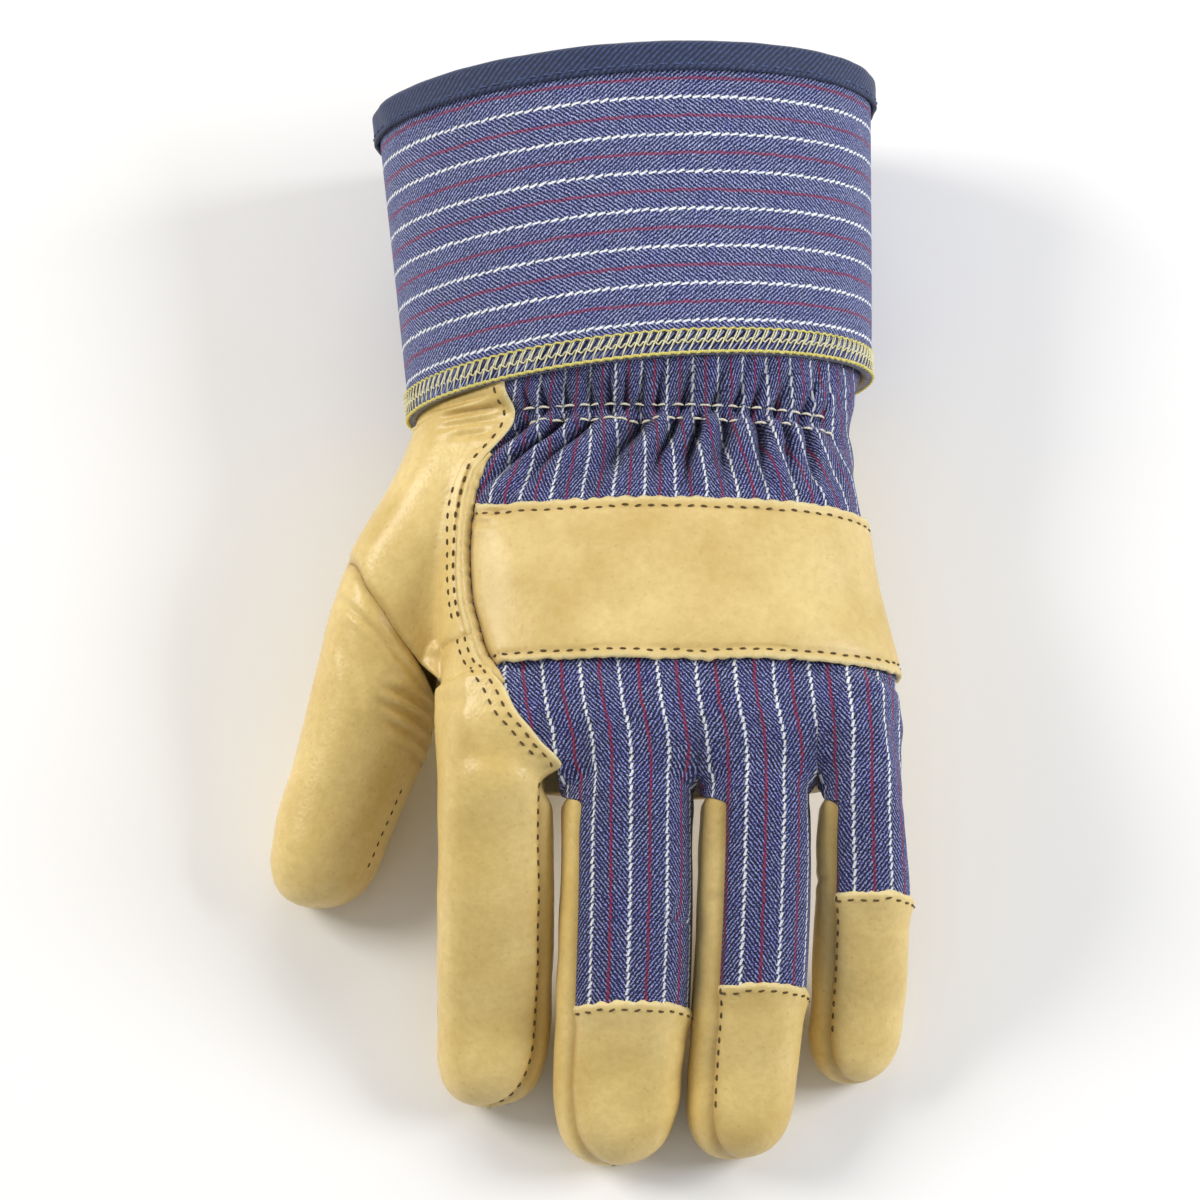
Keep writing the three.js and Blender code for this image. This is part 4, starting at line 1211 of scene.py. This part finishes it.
def grain_leather(name, light, dark, roughness, seed):
    """Grain pigskin, tanned pale gold and drummed soft. To the eye it is smooth and satiny, with a fine
    pebbled grain, scattered pores, cloudy changes of tone and pale fuzzy cut edges, with shade painted along
    its seams and grooves."""
    material, tree = new_material(name)
    add_node(tree, "place", "ShaderNodeTexCoord", {})
    add_node(tree, "moved", "ShaderNodeMapping", {0: "@place:Object", "Location": (seed, 0.3 * seed, 0.0)})
    add_node(tree, "clouds", NOISE, {"Vector": "@moved", "Scale": 45.0, "Detail": 4.0, "Roughness": 0.55})
    add_node(tree, "cloud_share", RANGE, {0: "@clouds", 1: 0.35, 2: 0.75})
    add_node(tree, "tone", MIX, {0: "@cloud_share", 6: linear(light), 7: linear(dark)}, **COLOUR)
    # Pebbled grain, cells 0.8 mm across, and a coarser crinkle
    add_node(tree, "pebbles", CELLS, {"Vector": "@moved", "Scale": 1250.0}, feature="SMOOTH_F1")
    add_node(tree, "crinkle", NOISE, {"Vector": "@moved", "Scale": 520.0, "Detail": 3.0, "Roughness": 0.6})
    # Pores 2.6 mm apart
    add_node(tree, "pores", CELLS, {"Vector": "@moved", "Scale": 390.0}, feature="F1")
    add_node(tree, "pore", RANGE, {0: "@pores:Distance", 1: 0.1, 2: 0.2, 3: 1.0, 4: 0.0})
    add_node(tree, "pore_share", MATH, {0: "@pore", 1: 0.14}, operation="MULTIPLY")
    add_node(tree, "pored", MIX, {0: "@pore_share", 6: "@tone" + MIXED, 7: linear("#9a7836")}, **COLOUR)
    add_node(tree, "fine_share", RANGE, {0: "@crinkle", 1: 0.35, 2: 0.7, 3: 0.0, 4: 0.22})
    add_node(tree, "fine", MIX, {0: "@fine_share", 6: "@pored" + MIXED, 7: linear("#b08d49")}, **COLOUR)
    # Painted shade along seams and in grooves: a darker brown mixed in by the seam share
    add_node(tree, "seam", ATTRIBUTE, {}, attribute_name="seam")
    add_node(tree, "seam_share", MATH, {0: "@seam:Fac", 1: 0.45}, operation="MULTIPLY")
    add_node(tree, "sewn", MIX, {0: "@seam_share", 6: "@fine" + MIXED, 7: linear("#94702f")}, **COLOUR)
    add_node(tree, "raw", ATTRIBUTE, {}, attribute_name="raw")
    add_node(tree, "inside", ATTRIBUTE, {}, attribute_name="inside")
    add_node(tree, "flesh_side", MATH, {0: "@raw:Fac", 1: "@inside:Fac"}, operation="MAXIMUM")
    add_node(tree, "fluff", NOISE, {"Vector": "@place:Object", "Scale": 1500.0, "Detail": 2.0})
    add_node(tree, "fluff_share", RANGE, {0: "@fluff", 1: 0.35, 2: 0.62, 3: 0.35, 4: 1.0})
    add_node(tree, "suede_share", MATH, {0: "@flesh_side", 1: "@fluff_share"}, operation="MULTIPLY")
    add_node(tree, "suede", MIX, {0: "@suede_share", 6: "@sewn" + MIXED, 7: linear("#e6d9a8")}, **COLOUR)
    add_node(tree, "dull", RANGE, {0: "@suede_share", 3: roughness, 4: 0.95})
    add_node(tree, "relief", MATH, {0: "@crinkle", 1: 0.7, 2: "@pebbles:Distance"}, operation="MULTIPLY_ADD")
    add_node(tree, "relief2", MATH, {0: "@pore", 1: -0.4, 2: "@relief"}, operation="MULTIPLY_ADD")
    add_node(tree, "bump", BUMP, {"Strength": 0.28, "Distance": 0.00022, "Height": "@relief2"})
    set_sockets(tree, tree.nodes["skin"], {
        "Base Color": "@suede" + MIXED, "Roughness": "@dull", "Normal": "@bump", "IOR": 1.47,
        "Sheen Weight": 0.05,
    })
    return material


def spun_thread(name, colour, shade):
    """Spun sewing thread. To the eye it is a soft matt cord with slanting plies."""
    material, tree = new_material(name)
    add_node(tree, "place", "ShaderNodeTexCoord", {})
    add_node(tree, "turned", "ShaderNodeMapping", {0: "@place:Object", "Rotation": (0.4, 0.5, 0.8)})
    add_node(tree, "plies", WAVES, {"Vector": "@turned", "Scale": 900.0, "Distortion": 1.5})
    add_node(tree, "tone", MIX, {0: "@plies:Fac", 6: linear(shade), 7: linear(colour)}, **COLOUR)
    add_node(tree, "bump", BUMP, {"Strength": 0.3, "Distance": 0.0001, "Height": "@plies:Fac"})
    set_sockets(tree, tree.nodes["skin"], {
        "Base Color": "@tone" + MIXED, "Normal": "@bump", "Roughness": 0.8, "Sheen Weight": 0.1,
    })
    return material


def woven_tape(name, colour, shade):
    """Plain-woven polyester tape, dyed navy. To the eye it is dull and finely ribbed, with a faint lustre."""
    material, tree = new_material(name)
    add_node(tree, "uv", "ShaderNodeUVMap", {}, uv_map="Cloth")
    add_node(tree, "ribs", WAVES, {"Vector": "@uv", "Scale": 0.42, "Distortion": 1.2, "Detail": 2.0},
             bands_direction="DIAGONAL")
    add_node(tree, "fuzz", NOISE, {"Vector": "@uv", "Scale": 1.1, "Detail": 3.0}, **FLAT)
    add_node(tree, "share", MATH, {0: "@ribs:Fac", 1: "@fuzz:Fac"}, operation="MULTIPLY")
    add_node(tree, "tone", MIX, {0: "@share", 6: linear(shade), 7: linear(colour)}, **COLOUR)
    add_node(tree, "bump", BUMP, {"Strength": 0.5, "Distance": 0.0002, "Height": "@share"})
    set_sockets(tree, tree.nodes["skin"], {
        "Base Color": "@tone" + MIXED, "Normal": "@bump", "Roughness": 0.72, "Sheen Weight": 0.15,
    })
    return material


# A thread's material, and the colours of its plies and of the shade between them
THREADS = {
    "cream": ("spun_cotton_thread", "#f1ecd9", "#c9c2a6"),
    "yellow": ("spun_polyester_thread_yellow", "#e8de84", "#bdb052"),
    "straw": ("spun_polyester_thread_straw", "#f3efcd", "#c6bf8c"),
    "navy": ("spun_polyester_thread_navy", "#55699c", "#1f2c50"),
    "brown": ("waxed_thread_brown", "#6a5326", "#3f2f14"),
}
# Of each twill: where its blue stands between gap and light, its violet, the length of a ply, the white
# thread's half width, and how strong the weave's bump and the red are
BACK_TWILL = {"middle": 0.62, "violet": "#7f6cc0", "ply": 1.6, "white": 0.37, "bump": 0.9, "red": 0.95}
CUFF_TWILL = {"middle": 0.55, "violet": "#7f7cae", "ply": 2.1, "white": 0.33, "bump": 0.7, "red": 0.8}


@lru_cache(maxsize=None)
def material_of(kind):
    looks = bpy.context.scene.glove_looks
    if kind in THREADS:
        return spun_thread(*THREADS[kind])
    if kind == "back":
        return striped_twill("brushed_cotton_twill", looks.cloth_colour, "#b6bff4", "#05081a", BACK_TWILL)
    if kind == "cuff":
        return striped_twill("rubberised_cotton_twill", looks.cuff_colour, "#b9c2f0", "#0d1234", CUFF_TWILL)
    if kind == "leather":
        return grain_leather("grain_pigskin", looks.leather_colour, "#d2b469", 0.35, 0.0)
    if kind == "strap":
        return grain_leather("strap_pigskin", looks.strap_colour, "#ccaf68", 0.42, 0.37)
    return woven_tape("woven_polyester_tape", looks.binding_colour, "#0b142e")


class GloveLooks(bpy.types.PropertyGroup):
    leather_colour: StringProperty(name="Leather", description="sRGB hex of the pigskin", default="#e8ce88")
    strap_colour: StringProperty(name="Strap", description="sRGB hex of the knuckle strap", default="#e4cb8a")
    cloth_colour: StringProperty(
        name="Back cloth", description="sRGB hex of the twill's blue", default="#363d76"
    )
    cuff_colour: StringProperty(
        name="Cuff cloth", description="sRGB hex of the cuff's blue", default="#464f80"
    )
    binding_colour: StringProperty(
        name="Binding", description="sRGB hex of the cuff's tape", default="#465c92"
    )


class GloveWalls(bpy.types.PropertyGroup):
    leather_wall: FloatProperty(
        name="Leather", description="Thickness of the leather in mm", default=1.2, min=0.5
    )
    cloth_wall: FloatProperty(
        name="Cloth", description="Thickness of the back cloth in mm", default=0.9, min=0.3
    )
    stitch_pitch: FloatProperty(
        name="Stitch pitch", description="Distance between stitches in mm", default=3.0, min=1.0
    )
    elastic_pitch: FloatProperty(
        name="Elastic pitch", description="Stitch length on the elastic in mm", default=3.1, min=1.0
    )


class GloveStage(bpy.types.PropertyGroup):
    elevation: FloatProperty(
        name="Elevation", description="Camera's angle above the floor", default=math.radians(75),
        subtype="ANGLE",
    )
    distance: FloatProperty(name="Distance", description="Camera's distance", default=1.3, unit="LENGTH")
    focal_length: FloatProperty(
        name="Lens", description="Focal length in mm on a 36 mm sensor", default=169.6
    )
    floor_size: FloatProperty(name="Floor", description="Side of the floor", default=6.0, unit="LENGTH")


class GLOVE_OT_back_cloth(bpy.types.Operator):
    """Striped cloth over the back of the hand and three fingers, gathered at the wrist by elastic"""
    bl_idname = "glove.back_cloth"
    bl_label = "Back cloth"

    def execute(self, context):
        walls = context.scene.glove_walls
        panels = list(cloth_panels().values())
        twill = material_of("back")
        back = sew_piece("striped_back", panels, walls.cloth_wall, twill, ["back_cloth"])
        return {"FINISHED"}


class GLOVE_OT_leather(bpy.types.Operator):
    """Pigskin panels of the palm, thumb, index finger, finger fronts and finger tips"""
    bl_idname = "glove.leather"
    bl_label = "Leather panels"

    def execute(self, context):
        wall = context.scene.glove_walls.leather_wall
        leather = material_of("leather")
        pieces = {
            "palm_leather": (palm_panels().values(), ["palm"]),
            "thumb_leather": (thumb_panels().values(), ["thumb"]),
            "index_back_leather": ([index_panel()], ["index_back"]),
        }
        for name, panel in finger_panels().items():
            pieces[name + "_leather"] = ([panel], [name])
        for name, (panels, nodes) in pieces.items():
            sew_piece(name, list(panels), wall, leather, nodes)
        return {"FINISHED"}


class GLOVE_OT_strap(bpy.types.Operator):
    """Raw-edged leather strap over the knuckles, and the rolled welt beside it"""
    bl_idname = "glove.strap"
    bl_label = "Knuckle strap"

    def execute(self, context):
        leather = material_of("strap")
        sew_piece("strap_leather", [strap_panel()], STRAP_WALL, leather, ["knuckle_strap"])
        y = even_rows(-0.2 * PALM_LENGTH, -0.8 * PALM_LENGTH, 0.8)
        x = back_seam_x(y) + 0.4
        top = skin(y, x, hand_section(y)[..., Z], np.full_like(y, math.pi / 2))
        top[:, 2] += 0.25
        rough = 1 + 0.12 * np.sin(1.9 * y) + 0.08 * np.sin(5.1 * y + 1.0)
        share = np.linspace(0, 1, len(y))
        ends = ease(share, 0, 0.08) * (1 - ease(share, 0.92, 1))
        ups = np.tile([-0.35, 0.0, 0.94], (len(y), 1))
        points, faces = tube(top, ups, 1.15 * rough * (0.35 + 0.65 * ends), 12)
        zeros = np.zeros(len(points))
        # The whole welt takes 0.45 of the leather's painted seam shade, and a tenth of its pale cut-edge
        # colour
        values = {"inside": zeros, "seam": zeros + 0.45, "raw": zeros + 0.1}
        welt = add_mesh("welt_leather", points, faces, material_of("leather"), values)
        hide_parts("back_welt")
        return {"FINISHED"}


def cuff_points(y, angle, grow):
    """Points round the cuff, moved out by `grow`, and flattened where it lies on its bound edge."""
    y, angle, grow = np.broadcast_arrays(y, angle, grow)
    points = ring_points(cuff_section(y), y, angle, grow)
    points[..., 2] = np.maximum(points[..., 2], BINDING_WALL + SEWING_GAP - grow)
    return points


class GLOVE_OT_cuff(bpy.types.Operator):
    """Stiff striped cuff, its navy binding and the overlocked edge at the wrist"""
    bl_idname = "glove.cuff"
    bl_label = "Cuff"

    def execute(self, context):
        y = even_rows(CUFF_LENGTH + 0.2, 0.0, 1.0)[:, None]
        angle = np.linspace(0, 2 * np.pi, 281)[None]
        points = cuff_points(y, angle, 0.0)
        oval = cuff_section(y)
        panel = Panel(points, outward_from(points, oval[..., X], y, oval[..., Z]), closed=True)
        around = np.broadcast_to(angle * CLOTH_RADIUS, points.shape[:2])
        along = np.broadcast_to(np.maximum(y, OVERLOCK_WIDTH) - CUFF_FIRST_STRIPE, points.shape[:2])
        around = around + np.broadcast_to(y, points.shape[:2]) * (y < OVERLOCK_WIDTH)
        panel.cloth = np.stack([along, around], axis=-1)
        wave = 0.3 * np.sin(3 * angle + 0.04 * y) + 0.2 * np.sin(5 * angle + 1.0 - 0.05 * y)
        panel.lift(wave * (1 - bell(y - CUFF_LENGTH, 10.0)))
        panel.keep_above_floor(BINDING_WALL + SEWING_GAP)
        cuff = sew_piece("striped_cuff", [panel], CUFF_WALL, material_of("cuff"), ["cuff"])
        tape = self.binding()
        self.overlock()
        return {"FINISHED"}

    def binding(self):
        """Tape folded over the mouth: a U-shaped profile carried round the cuff."""
        out, wall = SEWING_GAP, BINDING_WALL
        low, high = CUFF_LENGTH - BINDING_WIDTH, CUFF_LENGTH + out
        turn = np.linspace(0, np.pi, 15)
        middle, half = -CUFF_WALL / 2, CUFF_WALL / 2 + out

        def u_line(extra, low_y):
            side_y = np.linspace(low_y, high - 1.0, 8)
            arc_y = high - 1.0 + (1.0 + extra) * np.sin(turn)
            arc_grow = middle + (half + extra) * np.cos(turn)
            sides = np.full(8, middle + half + extra), np.full(8, middle - half - extra)
            y = np.concatenate([side_y, arc_y[1:-1], side_y[::-1]])
            return y, np.concatenate([sides[0], arc_grow[1:-1], sides[1]])

        outer_y, outer_grow = u_line(wall, low)
        inner_y, inner_grow = u_line(0.05, low + 0.1)
        profile_y = np.concatenate([outer_y, inner_y[::-1], outer_y[:1]])
        profile_grow = np.concatenate([outer_grow, inner_grow[::-1], outer_grow[:1]])
        angle = np.linspace(0, 2 * np.pi, 281)
        grid = cuff_points(profile_y[:, None], angle[None], profile_grow[:, None])
        lie = 0.12 * ripples(grid, 91, 9.0)
        grid = grid + unit(grid - grid.mean(axis=(0, 1))) * (lie * (profile_grow[:, None] > 0))[..., None]
        grid[..., 2] = np.maximum(grid[..., 2], BINDING_WALL + SEWING_GAP - profile_grow[:, None])
        rows, columns = grid.shape[:2]
        numbers = np.arange(rows * columns).reshape(rows, columns)
        numbers[-1] = numbers[0]
        numbers[:, -1] = numbers[:, 0]
        corners = [numbers[:-1, :-1], numbers[:-1, 1:], numbers[1:, 1:], numbers[1:, :-1]]
        faces = np.stack(corners, axis=-1).reshape(-1, 4)
        walked = np.concatenate([[0], np.cumsum(np.hypot(np.diff(profile_y), np.diff(profile_grow)))])
        across = np.broadcast_arrays(walked[:, None], angle[None] * CLOTH_RADIUS)
        cloth = np.stack(across, axis=-1).reshape(-1, 2)
        tape = add_mesh("binding_tape", grid.reshape(-1, 3), faces, material_of("binding"), None, cloth)
        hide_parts("cuff_binding")
        return tape

    def overlock(self):
        """Three rows of thread round the wrist edge and slanting threads between them."""
        angle = np.linspace(0, 2 * np.pi, 1601)
        cells = 142
        outward = lambda points: unit(points - np.array([0.0, 3.0, 34.0]))  # from the wrist's middle
        parts = []
        for number, (y, radius, sway) in enumerate(((0.3, 0.38, 0.08), (2.9, 0.2, 0.35), (5.5, 0.26, 0.14))):
            wave = sway * np.sin(cells * angle + number)
            points = cuff_points(y + wave, angle, 0.4 + 0.15 * np.cos(cells * angle))
            parts.append(tube(points, outward(points), radius, 6))
        add_thread("overlock_edge_thread", joined([parts[0], parts[2]]), "yellow")
        start = np.arange(cells) / cells * 2 * np.pi
        bars = [parts[1]]
        for low, high, lean, shift in ((0.3, 5.5, -0.026, 0.0), (2.9, 5.5, -0.014, 0.02)):
            a, b = cuff_points(low, start + shift - lean, 0.4), cuff_points(high, start + shift + lean, 0.4)
            length = np.linalg.norm(b - a, axis=-1).mean() + 0.4
            middle = (a + b) / 2
            ups = outward(middle)
            bars.append(stitches(middle, unit(b - a), ups, length, radius=0.19, bow=0.3, sink=0.05))
        add_thread("overlock_ladder_thread", joined(bars), "straw")
        points = cuff_points(CUFF_LENGTH - BINDING_WIDTH + 1.2, angle, SEWING_GAP + BINDING_WALL)
        points[:, 2] = np.maximum(points[:, 2], 0.3)
        places, ways, ups = along_line(points, outward(points), 3.0)
        mesh = stitches(places, ways, ups, length=1.9, radius=0.2, bow=0.15, sink=0.02)
        add_thread("binding_stitches", mesh, "navy")


def add_thread(name, mesh, kind):
    piece = add_mesh(name, mesh[0], mesh[1], material_of(kind))
    return piece


class GLOVE_OT_stitches(bpy.types.Operator):
    """Rows of stitches along the seams of the leather and over the elastic"""
    bl_idname = "glove.stitches"
    bl_label = "Stitches"

    def execute(self, context):
        walls = context.scene.glove_walls
        self.leather_rows(walls.stitch_pitch)
        self.elastic_rows(walls.elastic_pitch)
        return {"FINISHED"}

    def leather_rows(self, pitch):
        strap, index, wing, fingers = strap_panel(), index_panel(), palm_panels()["wing"], finger_panels()
        thumb = thumb_panels()["back"]
        rows = [
            strap.line("top", 2.4), strap.line("bottom", 2.4),
            clipped(index.line("right", 2.3), lambda p: p[:, 1] > -92.5),
            clipped(index.line("right", 5.0), lambda p: p[:, 1] > -91.0),
            clipped(index.line("right", 0.9), lambda p: p[:, 1] < -93.0),
            clipped(wing.line("left", 2.6), lambda p: (p[:, 1] > -30.0) & (p[:, 1] < -3.0)),
            clipped(wing.line("left", 3.0), lambda p: (p[:, 1] > -58.0) & (p[:, 1] < -30.0)),
            clipped(wing.line("left", 5.2), lambda p: (p[:, 1] > -58.0) & (p[:, 1] < -24.0)),
        ]
        for name in CLOTH_FINGERS:
            rows.append(fingers[name + "_tip"].line("top", 2.0))
        rows.append(clipped(fingers["ring_tip"].line("left", 0.8), lambda p: p[:, 1] > -163.0))
        rows.append(clipped(fingers["little_tip"].line("left", 0.8), lambda p: p[:, 1] > -146.0))
        parts = []
        for points, normals in rows:
            places, ways, ups = along_line(points, normals, pitch)
            parts.append(stitches(places, ways, ups, length=1.5, radius=0.3, bow=0.12, sink=0.02))
        side = clipped(thumb.line("left", 6.5), lambda p: (p[:, 1] < -88.0) & (p[:, 1] > -107.0))
        places, ways, ups = along_line(*side, 2.6)
        parts.append(stitches(places, ways, ups, length=1.3, radius=0.22, bow=0.1, sink=0.05))
        add_thread("seam_stitches", joined(parts), "brown")

    def elastic_rows(self, pitch):
        """Two rows of bowed stitches that follow the gathered cloth across the wrist."""
        strips = cloth_panels()
        parts = []
        for row_y, offset in ((GATHER_LINE + 1.6, 0.0), (GATHER_LINE - 1.7, 0.4)):
            points, normals = [], []
            for name in CLOTH_FINGERS:
                row = np.argmin(np.abs(cloth_rows(name) - row_y))
                points.append(strips[name].points[row])
                normals.append(strips[name].normals[row])
            points, normals = np.concatenate(points), np.concatenate(normals)
            keep = (points[:, 0] > -27.5) & (points[:, 0] < 43.5)
            points, normals = points[keep], normals[keep]
            points = np.stack([smoothed(column, 6) for column in points.T], axis=-1)
            places, ways, _ = along_line(points, normals, pitch, 0.5 + offset)
            raised = places + np.array([0.0, 0.0, 0.55])
            ups = np.tile([0.0, 0.35, 0.94], (len(places), 1))
            parts.append(stitches(raised, ways, ups, length=2.9, radius=0.3, bow=0.5, sink=0.35))
        add_thread("elastic_stitches", joined(parts), "cream")


CAMERA_TARGET = (-9.2, -43.9, 20.4)  # in the glove's millimetres


def clipped(line, keep):
    points, normals = line
    mask = keep(points)
    return points[mask], normals[mask]


class GLOVE_OT_stage(bpy.types.Operator):
    """Pale floor, soft studio lights and the camera"""
    bl_idname = "glove.stage"
    bl_label = "Stage"

    def execute(self, context):
        scene, stage = context.scene, context.scene.glove_stage
        low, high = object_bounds()
        self.floor(stage.floor_size)
        target = Vector((np.array(CAMERA_TARGET) + SHIFT) * MILLIMETRE)
        camera_data = bpy.data.cameras.new("camera")
        camera_data.lens = stage.focal_length
        camera_data.clip_end = 20.0
        camera = bpy.data.objects.new("camera", camera_data)
        scene.collection.objects.link(camera)
        away = Vector((0, -math.cos(stage.elevation), math.sin(stage.elevation)))
        camera.location = target + away * stage.distance
        camera.rotation_euler = away.to_track_quat("Z", "Y").to_euler()
        scene.camera = camera
        for name, place, size, power, colour in (
            ("left_softbox", (-1.15, 0.4, 0.9), 0.6, 14.5, "#fffaf2"),
            ("right_softbox", (1.2, 0.15, 0.85), 0.6, 14.5, "#fbfcff"),
            ("back_softbox", (0.0, 1.4, 0.9), 0.8, 4.0, "#ffffff"),
        ):
            self.light(name, place, size, power, colour, (low + high) / 2)
        world = bpy.data.worlds.new("studio")
        world.use_nodes = True
        world.node_tree.nodes["Background"].inputs[0].default_value = linear("#ffffff")
        world.node_tree.nodes["Background"].inputs[1].default_value = 0.36
        scene.world = world
        scene.view_settings.view_transform = "Standard"
        return {"FINISHED"}

    def floor(self, size):
        mesh = bpy.data.meshes.new("floor")
        half = size / 2
        corners = [(-half, -half, 0), (half, -half, 0), (half, half, 0), (-half, half, 0)]
        mesh.from_pydata(corners, [], [(0, 1, 2, 3)])
        floor = bpy.data.objects.new("floor", mesh)
        material, tree = new_material("matt_studio_paper")
        set_sockets(tree, tree.nodes["skin"], {"Base Color": linear("#f7f7f7"), "Roughness": 0.9})
        mesh.materials.append(material)
        bpy.context.scene.collection.objects.link(floor)
        floor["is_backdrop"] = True

    def light(self, name, place, size, power, colour, aim):
        data = bpy.data.lights.new(name, "AREA")
        data.size, data.energy, data.color = size, power, linear(colour)[:3]
        light = bpy.data.objects.new(name, data)
        light.location = place
        light.rotation_euler = (Vector(place) - aim).to_track_quat("Z", "Y").to_euler()
        bpy.context.scene.collection.objects.link(light)


class GLOVE_PT_panel(bpy.types.Panel):
    bl_idname = "GLOVE_PT_panel"
    bl_label = "Work glove"
    bl_space_type = "VIEW_3D"
    bl_region_type = "UI"
    bl_category = "Glove"

    def draw(self, context):
        for group in (context.scene.glove_looks, context.scene.glove_walls, context.scene.glove_stage):
            for name in group.__annotations__:
                self.layout.prop(group, name)
        for operator in OPERATORS:
            self.layout.operator(operator.bl_idname)


OPERATORS = (
    GLOVE_OT_back_cloth, GLOVE_OT_leather, GLOVE_OT_strap, GLOVE_OT_cuff, GLOVE_OT_stitches, GLOVE_OT_stage,
)
GROUPS = {"glove_looks": GloveLooks, "glove_walls": GloveWalls, "glove_stage": GloveStage}


def register():
    for kind in (*GROUPS.values(), *OPERATORS, GLOVE_PT_panel):
        bpy.utils.register_class(kind)
    for name, group in GROUPS.items():
        setattr(bpy.types.Scene, name, PointerProperty(type=group))


def unregister():
    for name in GROUPS:
        delattr(bpy.types.Scene, name)
    for kind in (GLOVE_PT_panel, *OPERATORS, *GROUPS.values()):
        bpy.utils.unregister_class(kind)


def main():
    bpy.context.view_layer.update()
    register()
    for operator in OPERATORS:
        group, name = operator.bl_idname.split(".")
        getattr(getattr(bpy.ops, group), name)()


if __name__ == "__main__":
    main()
